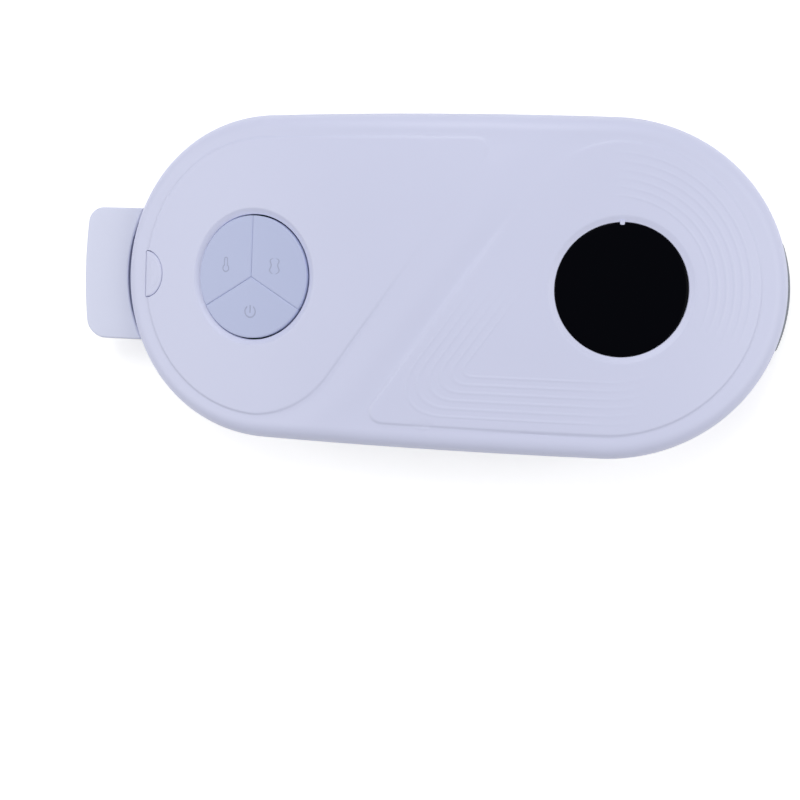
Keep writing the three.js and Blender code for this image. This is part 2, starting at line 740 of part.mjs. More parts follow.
const beltStart = new THREE.Vector2(exitPoint.x, exitPoint.z)
  .add(new THREE.Vector2(Math.cos(exitHeading), Math.sin(exitHeading)).multiplyScalar(curlPush - innerRun));
const beltLine = new BeltLine(beltStart.x, beltStart.y, exitHeading);
beltLine.run(innerRun, 2);
const curlDrop = beltLine.at.y - floorLine;
beltLine.turn(curlDrop / (1 + Math.cos(exitHeading)), -(Math.PI + exitHeading), CURL_STEPS);
beltLine.run(beltLine.at.x - BELT_FOLD_REACH, FLAT_STEPS);
beltLine.run(2 * BELT_FOLD_REACH, 2);
for (let layer = 1; layer < BELT_LAYERS; layer += 1) {
  beltLine.turn(layerPitch / 2, (layer % 2 ? -1 : 1) * Math.PI, FOLD_STEPS);
  beltLine.run(2 * BELT_FOLD_REACH, 2);
}
const slopeRadius = BELT_THICKNESS * 3;
beltLine.run(BELT_THICKNESS);
beltLine.turn(slopeRadius, BELT_SLOPE, 2);
const slopeRise = beltLine.at.y - floorLine - slopeRadius * (1 - Math.cos(BELT_SLOPE));
beltLine.run(slopeRise / Math.sin(BELT_SLOPE));
beltLine.turn(slopeRadius, -BELT_SLOPE, 2);
beltLine.run(beltLine.at.x + BELT_SEAM);

// The slot in the right end through which the belt leaves, with the gap all round and a
// rounded lower lip where the belt curls away.
const slotLine = new BeltLine(beltStart.x, beltStart.y, exitHeading);
slotLine.run(innerRun, 2);
slotLine.turn(curlDrop / (1 + Math.cos(exitHeading)), -(Math.PI + exitHeading), CURL_STEPS);
const beltSlot = solid(ribbon(slotLine, true, BELT_SLOT_GAP));

add('belt_webbing', ribbon(beltLine, true), 'belt');

// Anchor plate: clamps the belt's inner end on a pedestal of the back shell, with two screws.
const anchorFrame = new THREE.Matrix4().makeRotationY(-exitHeading)
  .setPosition(beltStart.x, 0, beltStart.y);
const anchorLow = BELT_THICKNESS / 2 + PART_GAP;
const anchorHigh = anchorLow + ANCHOR_THICKNESS;
const anchorHalf = BELT_WIDTH / 2 + 2 * BOSS_RADIUS;
const pedestalLow = -(BACK_DEPTH - FACE_WALL / 2 - BELT_EXIT_DEPTH);
const earInner = BELT_WIDTH / 2 + PART_GAP;
const anchorScrewX = ANCHOR_LENGTH / 2;
const anchorScrewY = BELT_WIDTH / 2 + BOSS_RADIUS;
let anchorPlate = solid(plate(
  roundedOutline(PART_GAP, -anchorHalf, ANCHOR_LENGTH, anchorHalf, ANCHOR_THICKNESS),
  anchorLow,
  anchorHigh,
));
backShell = backShell.add(inFrame(block(
  0, -anchorHalf, pedestalLow, ANCHOR_LENGTH, anchorHalf, -anchorLow,
), anchorFrame)).subtract(beltSlot);
for (const side of [-1, 1]) {
  const y = side * anchorScrewY;
  const ear = block(
    0, Math.min(side * earInner, side * anchorHalf), pedestalLow,
    ANCHOR_LENGTH, Math.max(side * earInner, side * anchorHalf), anchorLow - PART_GAP,
  );
  backShell = backShell.add(inFrame(ear, anchorFrame)).subtract(inFrame(shape(
    holeAt(anchorScrewX, y, SMALL_SCREW_RADIUS + SCREW_GAP, anchorHigh - SMALL_SCREW_LENGTH, anchorHigh),
  ), anchorFrame));
  anchorPlate = anchorPlate.subtract(
    holeAt(anchorScrewX, y, SMALL_SCREW_RADIUS + SCREW_GAP, anchorLow - OVERRUN, anchorHigh + OVERRUN),
  );
  const screw = screwBody(
    SMALL_SCREW_RADIUS, SMALL_HEAD_RADIUS, SMALL_HEAD_HEIGHT, 0, SMALL_SCREW_LENGTH,
  );
  screw.rotateX(Math.PI);
  screw.translate(anchorScrewX, y, anchorHigh + PART_GAP + SMALL_HEAD_HEIGHT);
  addScrew('anchor', screw, anchorFrame);
}
screwNumber = 0;
add('belt_anchor_plate', shape(anchorPlate), 'steel', anchorFrame);

// Rear stack: a foam sheet and a heating film under a soft contact pad with massage domes.
function stadiumSheet(inset, high, low) {
  return stadiumBody([
    ...spread(inset, high),
    [inset, high],
    [inset, low],
    ...spread(inset, low).reverse(),
  ]);
}
const pocketInset = PAD_INSET + PAD_WALL;
const stackInset = pocketInset + PART_GAP;
const foamHigh = PAD_TOP - PART_GAP;
const foamLow = foamHigh - FOAM_THICKNESS;
const filmHigh = foamLow - PART_GAP;
const filmLow = filmHigh - FILM_THICKNESS;
const pocketFloor = filmLow - PART_GAP;
const SENSOR_LENGTH = 5;
const SENSOR_WIDTH = 3;
const sensorFrame = faceFrame(0, 0, foamLow);
const sensorCut = block(
  -SENSOR_LENGTH / 2 - PART_GAP, -SENSOR_WIDTH / 2 - PART_GAP, -OVERRUN,
  SENSOR_LENGTH / 2 + PART_GAP, SENSOR_WIDTH / 2 + PART_GAP, FOAM_THICKNESS / 2 + PART_GAP,
);
add('insulation_foam', shape(
  solid(stadiumSheet(stackInset, foamHigh, foamLow)).subtract(inFrame(sensorCut, sensorFrame)),
), 'foam');
add('temperature_sensor', block(
  -SENSOR_LENGTH / 2, -SENSOR_WIDTH / 2, 0,
  SENSOR_LENGTH / 2, SENSOR_WIDTH / 2, FOAM_THICKNESS / 2,
), 'dark', sensorFrame);
add('heating_film', stadiumSheet(stackInset, filmHigh, filmLow), 'film');

const padProfile = [
  ...spread(pocketInset, pocketFloor),
  [pocketInset, pocketFloor],
  [pocketInset, PAD_TOP],
  [PAD_INSET, PAD_TOP],
  ...roundProfile(PAD_INSET + PAD_ROUND, PAD_BOTTOM + PAD_ROUND, PAD_ROUND, 0, -quarter, 3),
  ...spread(PAD_INSET + PAD_ROUND, PAD_BOTTOM).reverse().slice(1),
];
let contactPad = solid(stadiumBody(padProfile));
for (const along of [-BUMP_S, 0, BUMP_S]) {
  for (const across of [-BUMP_Y, BUMP_Y]) {
    const profile = [[0, PAD_BOTTOM + BUMP_HEIGHT / 4], [BUMP_RADIUS, PAD_BOTTOM + BUMP_HEIGHT / 4]];
    for (let i = 0; i <= DOME_STEPS; i += 1) {
      const angle = (quarter * i) / DOME_STEPS;
      profile.push([BUMP_RADIUS * Math.cos(angle), PAD_BOTTOM - BUMP_HEIGHT * Math.sin(angle)]);
    }
    profile.push([0, PAD_BOTTOM - BUMP_HEIGHT]);
    contactPad = contactPad.add(inFrame(turned(profile, BUMP_SIDES), faceFrame(along, across)));
  }
}
add('contact_pad', shape(contactPad), 'pad');

// Keys: three sectors that fill the round opening, each with a flange under the front wall
// and a stem that presses its switch.
const keyBoardTop = -KEY_BOARD_DEPTH;
const switchLow = keyBoardTop + PART_GAP;
const switchHigh = switchLow + SWITCH_HEIGHT;
const plungerHigh = switchHigh + PLUNGER_HEIGHT - PART_GAP;
const plungerLow = switchHigh - PLUNGER_HEIGHT - PART_GAP;
const stemLow = plungerHigh + PART_GAP;
const keyRadius = KEY_OPENING_RADIUS - KEY_GAP;
const keyMiddleRadius = keyRadius * KEY_MIDDLE_SHARE;
const SECTOR = (2 * Math.PI) / 3;
const flangeHigh = FRONT_INNER - PART_GAP;
const flangeLow = flangeHigh - KEY_FLANGE_DEPTH;

function sectorRing(middle, radius, half, height) {
  const apex = half / Math.sin(SECTOR / 2);
  const lean = Math.asin(half / radius);
  const points = [[apex * Math.cos(middle), apex * Math.sin(middle)]];
  for (let i = 0; i <= SECTOR_STEPS; i += 1) {
    const angle = middle - SECTOR / 2 + lean + ((SECTOR - 2 * lean) * i) / SECTOR_STEPS;
    points.push([radius * Math.cos(angle), radius * Math.sin(angle)]);
  }
  return points.map(([x, y]) => new THREE.Vector3(x, y, height + faceDrop(x)));
}

function keyBody(middle) {
  const half = KEY_SPLIT / 2;
  const cx = keyMiddleRadius * Math.cos(middle);
  const cy = keyMiddleRadius * Math.sin(middle);
  const top = new THREE.Vector3(cx, cy, -KEY_RECESS + faceDrop(cx));
  const low = new THREE.Vector3(cx, cy, flangeLow + faceDrop(cx));
  const edge = sectorRing(middle, keyRadius - KEY_EDGE, half + KEY_EDGE, -KEY_RECESS);
  const cap = loft([
    edge.map(() => top),
    edge,
    sectorRing(middle, keyRadius, half, -KEY_RECESS - KEY_EDGE),
    sectorRing(middle, keyRadius, half, flangeHigh),
    sectorRing(middle, keyRadius + KEY_FLANGE, half, flangeHigh),
    sectorRing(middle, keyRadius + KEY_FLANGE, half, flangeLow),
    edge.map(() => low),
  ]);
  const stem = rod(KEY_STEM_RADIUS, stemLow, flangeHigh);
  stem.translate(cx, cy, 0);
  return shape(solid(cap).add(solid(stem)));
}

const keyNames = [['heat', Math.PI * 5 / 6], ['massage', Math.PI / 6], ['power', -quarter]];
const carrierHigh = flangeLow + faceDrop(keyRadius + KEY_FLANGE) - KEY_TRAVEL - PART_GAP;
const carrierLow = carrierHigh - CARRIER_THICKNESS;
const carrierRadius = keyMiddleRadius + SWITCH_SIZE / Math.SQRT2 + CARRIER_THICKNESS + PART_GAP;
let carrier = solid(turned([
  [0, carrierLow], [carrierRadius - CARRIER_THICKNESS, carrierLow],
  [carrierRadius - CARRIER_THICKNESS, keyBoardTop + PART_GAP], [carrierRadius, keyBoardTop + PART_GAP],
  [carrierRadius, carrierHigh], [0, carrierHigh],
]));
let keyBoard = solid(plate(
  roundedOutline(
    -KEY_BOARD_LENGTH / 2, -KEY_BOARD_WIDTH / 2,
    KEY_BOARD_LENGTH / 2, KEY_BOARD_WIDTH / 2, BOARD_THICKNESS,
  ),
  keyBoardTop - BOARD_THICKNESS,
  keyBoardTop,
));
for (const [name, middle] of keyNames) {
  const cx = keyMiddleRadius * Math.cos(middle);
  const cy = keyMiddleRadius * Math.sin(middle);
  const half = SWITCH_SIZE / 2;
  const hole = rod(KEY_STEM_RADIUS + PART_GAP, carrierLow - OVERRUN, carrierHigh + OVERRUN);
  hole.translate(cx, cy, 0);
  carrier = carrier.subtract(solid(hole));
  const well = rod(PLUNGER_RADIUS + PART_GAP / 2, plungerLow - KEY_TRAVEL - PART_GAP, switchHigh + OVERRUN);
  well.translate(cx, cy, 0);
  const housing = block(cx - half, cy - half, switchLow, cx + half, cy + half, switchHigh);
  const plunger = rod(PLUNGER_RADIUS, plungerLow, plungerHigh);
  plunger.translate(cx, cy, 0);
  add(`${name}_key`, keyBody(middle), 'key', keyFrame);
  add(`${name}_switch`, shape(solid(housing).subtract(solid(well))), 'dark', keyFrame);
  add(`${name}_plunger`, plunger, 'light', keyFrame);
}
add('key_carrier', shape(carrier), 'light', keyFrame);

// Board posts of the front shell and the screws that hold the key board to them.
const boardScrewY = KEY_BOARD_WIDTH / 2 - BOSS_RADIUS;
const postRadius = SMALL_HEAD_RADIUS + SMALL_SCREW_RADIUS / 2;
for (const side of [-1, 1]) {
  for (const along of [-1, 1]) {
    const x = along * (KEY_BOARD_LENGTH / 2 - BOSS_RADIUS);
    const y = side * boardScrewY;
    const post = rod(postRadius, keyBoardTop + PART_GAP, FRONT_INNER);
    post.translate(x, y, 0);
    const pilot = rod(
      SMALL_SCREW_RADIUS + SCREW_GAP, keyBoardTop - OVERRUN, keyBoardTop + SMALL_SCREW_LENGTH,
    );
    pilot.translate(x, y, 0);
    frontShell = frontShell.add(inFrame(post, keyFrame)).subtract(inFrame(pilot, keyFrame));
    keyBoard = keyBoard.subtract(holeAt(
      x, y, SMALL_SCREW_RADIUS + SCREW_GAP, keyBoardTop - BOARD_THICKNESS - OVERRUN, keyBoardTop + OVERRUN,
    ));
    if (along === side) {
      const screw = screwBody(
        SMALL_SCREW_RADIUS, SMALL_HEAD_RADIUS, SMALL_HEAD_HEIGHT,
        keyBoardTop - BOARD_THICKNESS - PART_GAP - SMALL_HEAD_HEIGHT,
        keyBoardTop - BOARD_THICKNESS + SMALL_SCREW_LENGTH,
      );
      screw.translate(x, y, 0);
      addScrew('board', screw, keyFrame);
    }
  }
}
add('control_board', shape(keyBoard), 'board', keyFrame);

// Charging port: a metal shell, open at both ends, and its contact tongue on the key board.
const usbOutline = (margin) => {
  const half = USB_WIDTH / 2 - margin;
  const tall = USB_HEIGHT / 2 - margin;
  return roundedOutline(-half, -tall, half, tall, tall * CORNER_SHARE);
};
const usbMouth = HALF_WIDTH - PART_GAP * 2;
const usbShell = usbOutline(0);
const usbHole = usbOutline(USB_WALL);
usbShell.holes.push(new THREE.Path(usbHole.getPoints(3).reverse()));
const usbBody = plate(usbShell, usbMouth - USB_LENGTH, usbMouth);
usbBody.rotateX(quarter);
add('usb_shell', usbBody, 'steel', usbMatrix);
const tongueHalf = USB_WIDTH / 2 - USB_WALL - 3 * PART_GAP;
add('usb_tongue', block(
  -tongueHalf, -usbMouth + 2 * PART_GAP, -USB_TONGUE_THICKNESS / 2,
  tongueHalf, USB_LENGTH - usbMouth, USB_TONGUE_THICKNESS / 2,
), 'dark', usbMatrix);

// Display: a dark lens flush in its opening, a frame behind it, a light module and a board.
const lensRadius = LENS_OPENING_RADIUS - LENS_GAP;
const lensLow = -LENS_RECESS - LENS_THICKNESS + faceDrop(lensRadius);
function discRing(radius, height) {
  const points = [];
  for (let i = 0; i < ROUND_SIDES; i += 1) {
    const angle = (2 * Math.PI * i) / ROUND_SIDES;
    const x = radius * Math.cos(angle);
    const z = height === null ? lensLow : height + faceDrop(x);
    points.push(new THREE.Vector3(x, radius * Math.sin(angle), z));
  }
  return points;
}
add('display_lens', loft([
  discRing(0, -LENS_RECESS),
  discRing(lensRadius / 2, -LENS_RECESS),
  discRing(lensRadius - LENS_EDGE, -LENS_RECESS),
  discRing(lensRadius, -LENS_RECESS - LENS_EDGE),
  discRing(lensRadius, null),
  discRing(0, null),
]), 'lens', lensFrame);

const frameHigh = lensLow - PART_GAP;
const frameShelf = frameHigh - FRAME_DEPTH / 2;
const frameOuter = lensRadius + FRAME_WALL;
const frameSkirt = frameOuter - FRAME_WALL;
const frameInner = lensRadius * FRAME_INNER_SHARE;
const displayBoardTop = frameShelf - PART_GAP;
const displayBoardLow = displayBoardTop - BOARD_THICKNESS;
const displayScrewX = (frameInner + frameSkirt) / 2;
let displayFrame = solid(turned([
  [frameInner, frameHigh], [frameInner, frameShelf], [frameSkirt, frameShelf],
  [frameSkirt, displayBoardLow], [frameOuter, displayBoardLow], [frameOuter, frameHigh],
  [frameInner, frameHigh],
]));
let displayBoard = solid(rod(frameSkirt - PART_GAP, displayBoardLow, displayBoardTop, ROUND_SIDES));
const frameScrewLength = displayBoardTop + (frameHigh - frameShelf) / 2;
for (const side of [-1, 1]) {
  const y = side * displayScrewX;
  displayFrame = displayFrame.subtract(holeAt(
    0, y, SMALL_SCREW_RADIUS + SCREW_GAP, frameShelf - OVERRUN, frameScrewLength + PART_GAP,
  ));
  displayBoard = displayBoard.subtract(holeAt(
    0, y, SMALL_SCREW_RADIUS + SCREW_GAP, displayBoardLow - OVERRUN, displayBoardTop + OVERRUN,
  ));
  const screw = screwBody(
    SMALL_SCREW_RADIUS, SMALL_HEAD_RADIUS, SMALL_HEAD_HEIGHT,
    displayBoardLow - PART_GAP - SMALL_HEAD_HEIGHT, frameScrewLength,
  );
  screw.translate(0, y, 0);
  addScrew('board', screw, lensFrame);
}
add('display_frame', shape(displayFrame), 'light', lensFrame);
add('display_board', shape(displayBoard), 'board', lensFrame);
add('led_module', block(
  -LED_LENGTH / 2, -LED_WIDTH / 2, displayBoardTop + PART_GAP,
  LED_LENGTH / 2, LED_WIDTH / 2, Math.min(displayBoardTop + PART_GAP + LED_DEPTH, frameHigh),
), 'light', lensFrame);

// Snap posts of the front shell that hold the display frame down.
const hookInner = frameOuter + PART_GAP;
const HOOK_THICKNESS = 1.6;
const HOOK_WIDTH = 6;
const HOOK_BITE = 1;
for (const angle of [quarter / 2, 3 * quarter / 2, 5 * quarter / 2, 7 * quarter / 2]) {
  const profile = new THREE.Shape([
    new THREE.Vector2(hookInner, FRONT_INNER),
    new THREE.Vector2(hookInner, displayBoardLow - PART_GAP),
    new THREE.Vector2(hookInner - HOOK_BITE, displayBoardLow - PART_GAP - HOOK_BITE / 2),
    new THREE.Vector2(hookInner, displayBoardLow - PART_GAP - 2 * HOOK_BITE),
    new THREE.Vector2(hookInner + HOOK_THICKNESS, displayBoardLow - PART_GAP - 2 * HOOK_BITE),
    new THREE.Vector2(hookInner + HOOK_THICKNESS, FRONT_INNER),
  ]);
  const hook = plate(profile, -HOOK_WIDTH / 2, HOOK_WIDTH / 2);
  hook.rotateX(quarter);
  hook.rotateZ(angle);
  frontShell = frontShell.add(inFrame(hook, lensFrame));
}

// Battery in its tray.
const trayFloor = BACK_INNER + PART_GAP;
const cellLow = trayFloor + TRAY_WALL + PART_GAP;
const cellMatrix = faceFrame(0);
const trayX = CELL_LENGTH / 2 + PART_GAP + TRAY_WALL;
const trayY = CELL_WIDTH / 2 + PART_GAP + TRAY_WALL;
const trayOutline = roundedOutline(-trayX, -trayY, trayX, trayY, CELL_ROUND);
const tray = solid(plate(trayOutline, trayFloor, cellLow + CELL_HEIGHT / 2))
  .subtract(solid(plate(
    roundedOutline(-trayX + TRAY_WALL, -trayY + TRAY_WALL, trayX - TRAY_WALL, trayY - TRAY_WALL, CELL_ROUND),
    trayFloor + TRAY_WALL,
    cellLow + CELL_HEIGHT,
  )));
add('battery_tray', shape(tray), 'light', cellMatrix);
const cellOutline = roundedOutline(
  -CELL_LENGTH / 2, -CELL_WIDTH / 2, CELL_LENGTH / 2, CELL_WIDTH / 2, CELL_ROUND,
);
const cell = new THREE.ExtrudeGeometry(cellOutline, {
  depth: CELL_HEIGHT - CELL_ROUND,
  bevelThickness: CELL_ROUND / 2,
  bevelSize: CELL_ROUND / 2,
  bevelOffset: -CELL_ROUND / 2,
  bevelSegments: 1,
  curveSegments: 3,
});
cell.translate(0, 0, cellLow + CELL_ROUND / 2);
add('battery_cell', cell, 'cell', cellMatrix);

// Ribbon cable from the key board over the battery to the display board.
const RIBBON_REST_SHARE = 0.62;
const ribbonStart = ROUND_PLACE - carrierRadius - 3 * PART_GAP;
const ribbonEnd = ROUND_PLACE - frameSkirt + BOSS_RADIUS;
const ribbonClear = FACE_RADIUS - Math.sqrt(FACE_RADIUS ** 2 - (KEY_BOARD_LENGTH / 2) ** 2);
const ribbonHigh = FRONT_INNER - (KEY_BOARD_DEPTH * RIBBON_REST_SHARE - FACE_WALL);
const keyEndH = keyBoardTop + ribbonClear + PART_GAP + RIBBON_THICKNESS;
const displayEndH = displayBoardLow - PART_GAP - RIBBON_THICKNESS;
const ribbonPath = [
  [-ribbonStart, keyEndH], [-ribbonStart + BOSS_RADIUS, keyEndH], [-MOTOR_PLACE - MOTOR_RADIUS, ribbonHigh],
  [-CELL_LENGTH / 2, ribbonHigh], [0, ribbonHigh], [CELL_LENGTH / 2, ribbonHigh],
  [MOTOR_PLACE + MOTOR_RADIUS, ribbonHigh], [ribbonEnd - BOSS_RADIUS, displayEndH], [ribbonEnd, displayEndH],
];
const ribbonRings = ribbonPath.map(([s, h]) => [
  bend(s, -RIBBON_WIDTH / 2, h), bend(s, RIBBON_WIDTH / 2, h),
  bend(s, RIBBON_WIDTH / 2, h + RIBBON_THICKNESS), bend(s, -RIBBON_WIDTH / 2, h + RIBBON_THICKNESS),
]);
const ribbonCap = (ring) => ring.map(() => centreOf(ring));
add('ribbon_cable', loft([
  ribbonCap(ribbonRings[0]), ...ribbonRings, ribbonCap(ribbonRings[ribbonRings.length - 1]),
]), 'light');

// Vibration motors: a can in an open clamp, a shaft and an off-centre weight.
const motorH = BACK_INNER + PART_GAP + CLAMP_WALL + PART_GAP + MOTOR_RADIUS;
for (const [name, side] of [['left', -1], ['right', 1]]) {
  const motorMatrix = faceFrame(side * MOTOR_PLACE);
  const along = (geometry) => {
    geometry.rotateX(-quarter);
    geometry.translate(0, 0, motorH);
    return geometry;
  };
  const canLow = -MOTOR_LENGTH / 2;
  const canHigh = MOTOR_LENGTH / 2;
  const canEdge = MOTOR_RADIUS * MOTOR_EDGE_SHARE;
  const shaftHigh = canHigh + WEIGHT_LENGTH + PART_GAP * 3;
  const bore = MOTOR_SHAFT_RADIUS + MOTOR_BORE_GAP;
  add(`${name}_motor_can`, along(turned([
    [0, canLow], [MOTOR_RADIUS - canEdge, canLow], [MOTOR_RADIUS, canLow + canEdge],
    [MOTOR_RADIUS, canHigh - canEdge], [MOTOR_RADIUS - canEdge, canHigh],
    [bore, canHigh], [bore, canLow + MOTOR_LENGTH / 2], [0, canLow + MOTOR_LENGTH / 2],
  ], SMALL_SIDES * 2)), 'steel', motorMatrix);
  add(`${name}_motor_shaft`, along(
    rod(MOTOR_SHAFT_RADIUS, canLow + MOTOR_LENGTH / 2 + PART_GAP, shaftHigh),
  ), 'steel', motorMatrix);
  const weightOutline = new THREE.Shape();
  weightOutline.absarc(0, 0, WEIGHT_RADIUS, Math.PI, 2 * Math.PI, false);
  weightOutline.absarc(0, 0, WEIGHT_RADIUS / 2, 0, Math.PI, false);
  const weight = solid(plate(weightOutline, canHigh + PART_GAP * 2, canHigh + PART_GAP * 2 + WEIGHT_LENGTH))
    .subtract(solid(rod(MOTOR_SHAFT_RADIUS + PART_GAP / 2, canHigh, shaftHigh + OVERRUN)));
  add(`${name}_weight`, along(shape(weight)), 'brass', motorMatrix);
  const clampHalf = MOTOR_RADIUS + PART_GAP + CLAMP_WALL;
  const clampLength = MOTOR_LENGTH * CLAMP_LENGTH_SHARE;
  const cradle = solid(block(
    -clampHalf, -clampLength / 2, BACK_INNER + PART_GAP,
    clampHalf, clampLength / 2, motorH + MOTOR_RADIUS / 2,
  ));
  const seatBore = rod(MOTOR_RADIUS + PART_GAP, -clampLength, clampLength, SMALL_SIDES * 2);
  const throat = block(
    -MOTOR_RADIUS, -clampLength, motorH, MOTOR_RADIUS, clampLength, motorH + MOTOR_RADIUS + OVERRUN,
  );
  add(`${name}_motor_clamp`, shape(
    cradle.subtract(solid(along(seatBore))).subtract(solid(throat)),
  ), 'light', motorMatrix);
}

// Release button: a half-round cap with a flange, and a stem down to the latch.
const NOSE_LENGTH = 3;
const STEM_RADIUS = 1.2;
const windowMiddle = TONGUE_END + TONGUE_WINDOW_LENGTH / 2 + TONGUE_THICKNESS;
const noseRight = -windowMiddle + TONGUE_WINDOW_LENGTH / 2 - PART_GAP;
const stemLean = STEM_RADIUS * Math.sin(RELEASE_PLACE / FACE_RADIUS);
const stemTip = new THREE.Vector3(
  noseRight - RELEASE_TRAVEL / 2 - STEM_RADIUS, 0, tongueTop + stemLean + PART_GAP,
);
const tipInFrame = stemTip.clone().applyMatrix4(releaseFrame.clone().invert());
const releaseTop = -PART_GAP / 2;
const releaseLow = FRONT_INNER - PART_GAP;
let releaseBody = solid(plate(releaseOutline(-RELEASE_GAP), releaseLow - RELEASE_FLANGE, releaseTop))
  .add(solid(plate(releaseOutline(RELEASE_FLANGE), releaseLow - RELEASE_FLANGE, releaseLow)));
const stem = rod(STEM_RADIUS, tipInFrame.z, releaseLow);
stem.translate(tipInFrame.x, 0, 0);
releaseBody = releaseBody.add(solid(stem));
add('release_button', shape(releaseBody), 'shell', releaseFrame);

// Latch leaf: a bent spring strip that stands on the back shell, with a nose in the window.
const leafTop = tongueLow - SOCKET_GAP;
const leafRoot = -END_REACH + 3 * SIDE_WALL + 2 * PART_GAP;
const leafFootZ = AXIS_Z + Math.sqrt((FACE_RADIUS + BACK_INNER) ** 2 - leafRoot ** 2) + PART_GAP * 2;
const leafOutline = new THREE.Shape([
  new THREE.Vector2(leafRoot, leafFootZ),
  new THREE.Vector2(leafRoot + LEAF_THICKNESS, leafFootZ),
  new THREE.Vector2(leafRoot + LEAF_THICKNESS, leafTop - LEAF_THICKNESS),
  new THREE.Vector2(noseRight, leafTop - LEAF_THICKNESS),
  new THREE.Vector2(noseRight, tongueTop),
  new THREE.Vector2(noseRight - NOSE_LENGTH / 3, tongueTop),
  new THREE.Vector2(noseRight - NOSE_LENGTH, leafTop),
  new THREE.Vector2(leafRoot, leafTop),
]);
const leaf = plate(leafOutline, -LEAF_WIDTH / 2, LEAF_WIDTH / 2);
leaf.rotateX(quarter);
add('latch_leaf', leaf, 'steel');

// Buckle socket: a roof and two side rails round the tongue inside the housing.
const socketOuterX = -END_REACH + endFall(socketHalf) + 2 * (SIDE_WALL + PART_GAP);
let socket = solid(block(
  socketOuterX, -socketHalf, tongueLow - SOCKET_GAP, -TONGUE_END, socketHalf, socketTop,
)).subtract(solid(block(
  -TAB_OUTER, -TONGUE_HALF_WIDTH - SOCKET_GAP, tongueLow - SOCKET_GAP - OVERRUN,
  0, TONGUE_HALF_WIDTH + SOCKET_GAP, tongueTop + SOCKET_GAP,
)));
socket = socket.subtract(solid(block(
  -windowMiddle - TONGUE_WINDOW_LENGTH / 2, -TONGUE_WINDOW_WIDTH / 2, tongueTop,
  -windowMiddle + TONGUE_WINDOW_LENGTH / 2, TONGUE_WINDOW_WIDTH / 2, socketTop + OVERRUN,
)));
add('buckle_socket', shape(socket), 'light');

// Buckle: tab, tongue with its window, two lugs and the bar that carries the belt loop.
function tabOutline() {
  const outline = new THREE.Shape();
  const end = endFall(TAB_HALF_WIDTH);
  const shoulder = TAB_OUTER - TAB_CROWN;
  outline.moveTo(-TAB_INNER + end, -TAB_HALF_WIDTH);
  outline.lineTo(-shoulder + TAB_CORNER, -TAB_HALF_WIDTH);
  outline.quadraticCurveTo(-shoulder, -TAB_HALF_WIDTH, -shoulder, -TAB_HALF_WIDTH + TAB_CORNER);
  outline.quadraticCurveTo(-TAB_OUTER - TAB_CROWN, 0, -shoulder, TAB_HALF_WIDTH - TAB_CORNER);
  outline.quadraticCurveTo(-shoulder, TAB_HALF_WIDTH, -shoulder + TAB_CORNER, TAB_HALF_WIDTH);
  outline.lineTo(-TAB_INNER + end, TAB_HALF_WIDTH);
  const lean = Math.asin(TAB_HALF_WIDTH / HALF_WIDTH);
  const reach = HALF_WIDTH * CAP_STRETCH_SHARE;
  outline.absellipse(reach - TAB_INNER, 0, reach, HALF_WIDTH, Math.PI - lean, Math.PI + lean, false, 0);
  return outline;
}
const TAB_EDGE = 1;
const tab = new THREE.ExtrudeGeometry(tabOutline(), {
  depth: TAB_THICKNESS - 2 * TAB_EDGE,
  bevelThickness: TAB_EDGE,
  bevelSize: TAB_EDGE,
  bevelOffset: -TAB_EDGE,
  bevelSegments: 2,
  curveSegments: TAB_STEPS,
});
tab.translate(0, 0, TAB_TOP_Z - TAB_THICKNESS + TAB_EDGE);
const barX = -TAB_OUTER + TAB_CROWN + BUCKLE_BAR_REACH;
const barZ = BELT_THICKNESS + PART_GAP + BUCKLE_BAR_RADIUS;
const lugInner = BELT_WIDTH / 2 + PART_GAP * 2;
const lugOuter = TAB_HALF_WIDTH - TAB_EDGE;
const bar = rod(BUCKLE_BAR_RADIUS, -lugOuter, lugOuter);
bar.rotateX(quarter);
bar.translate(barX, 0, barZ);
let buckle = solid(tab)
  .add(solid(block(
    -TAB_INNER - TAB_CORNER, -TONGUE_HALF_WIDTH, tongueLow, -TONGUE_END, TONGUE_HALF_WIDTH, tongueTop,
  )))
  .subtract(solid(block(
    -windowMiddle - TONGUE_WINDOW_LENGTH / 2, -TONGUE_WINDOW_WIDTH / 2, tongueLow - OVERRUN,
    -windowMiddle + TONGUE_WINDOW_LENGTH / 2, TONGUE_WINDOW_WIDTH / 2, tongueTop + OVERRUN,
  )))
  .add(solid(bar));
for (const side of [-1, 1]) {
  const near = Math.min(side * lugInner, side * lugOuter);
  const far = Math.max(side * lugInner, side * lugOuter);
  buckle = buckle.add(solid(block(
    barX - BUCKLE_BAR_RADIUS, near, barZ - BUCKLE_BAR_RADIUS, barX + BUCKLE_BAR_RADIUS, far, tabMiddleZ,
  )));
}
add('buckle_tongue', shape(buckle), 'shell');

// Belt loop round the buckle bar: its lower run meets the belt, its upper run lies on it.
const loopRadius = BUCKLE_BAR_RADIUS + PART_GAP + BELT_THICKNESS / 2;
const loopLine = new BeltLine(-BELT_SEAM - PART_GAP, floorLine, Math.PI);
loopLine.run(-barX - BELT_SEAM - PART_GAP, 3);
loopLine.turn(loopRadius, -Math.PI, CURL_STEPS);
const LOOP_SLOPE = 0.7;
loopLine.turn(BELT_THICKNESS, -LOOP_SLOPE, 2);
const loopDrop = loopLine.at.y - floorLine - layerPitch - BELT_THICKNESS * (1 - Math.cos(LOOP_SLOPE));
loopLine.run(Math.max(loopDrop, PART_GAP) / Math.sin(LOOP_SLOPE));
loopLine.turn(BELT_THICKNESS, LOOP_SLOPE, 2);
const LOOP_TAIL = 4;
loopLine.run(LOOP_TAIL);
add('belt_buckle_loop', ribbon(loopLine, false), 'belt');

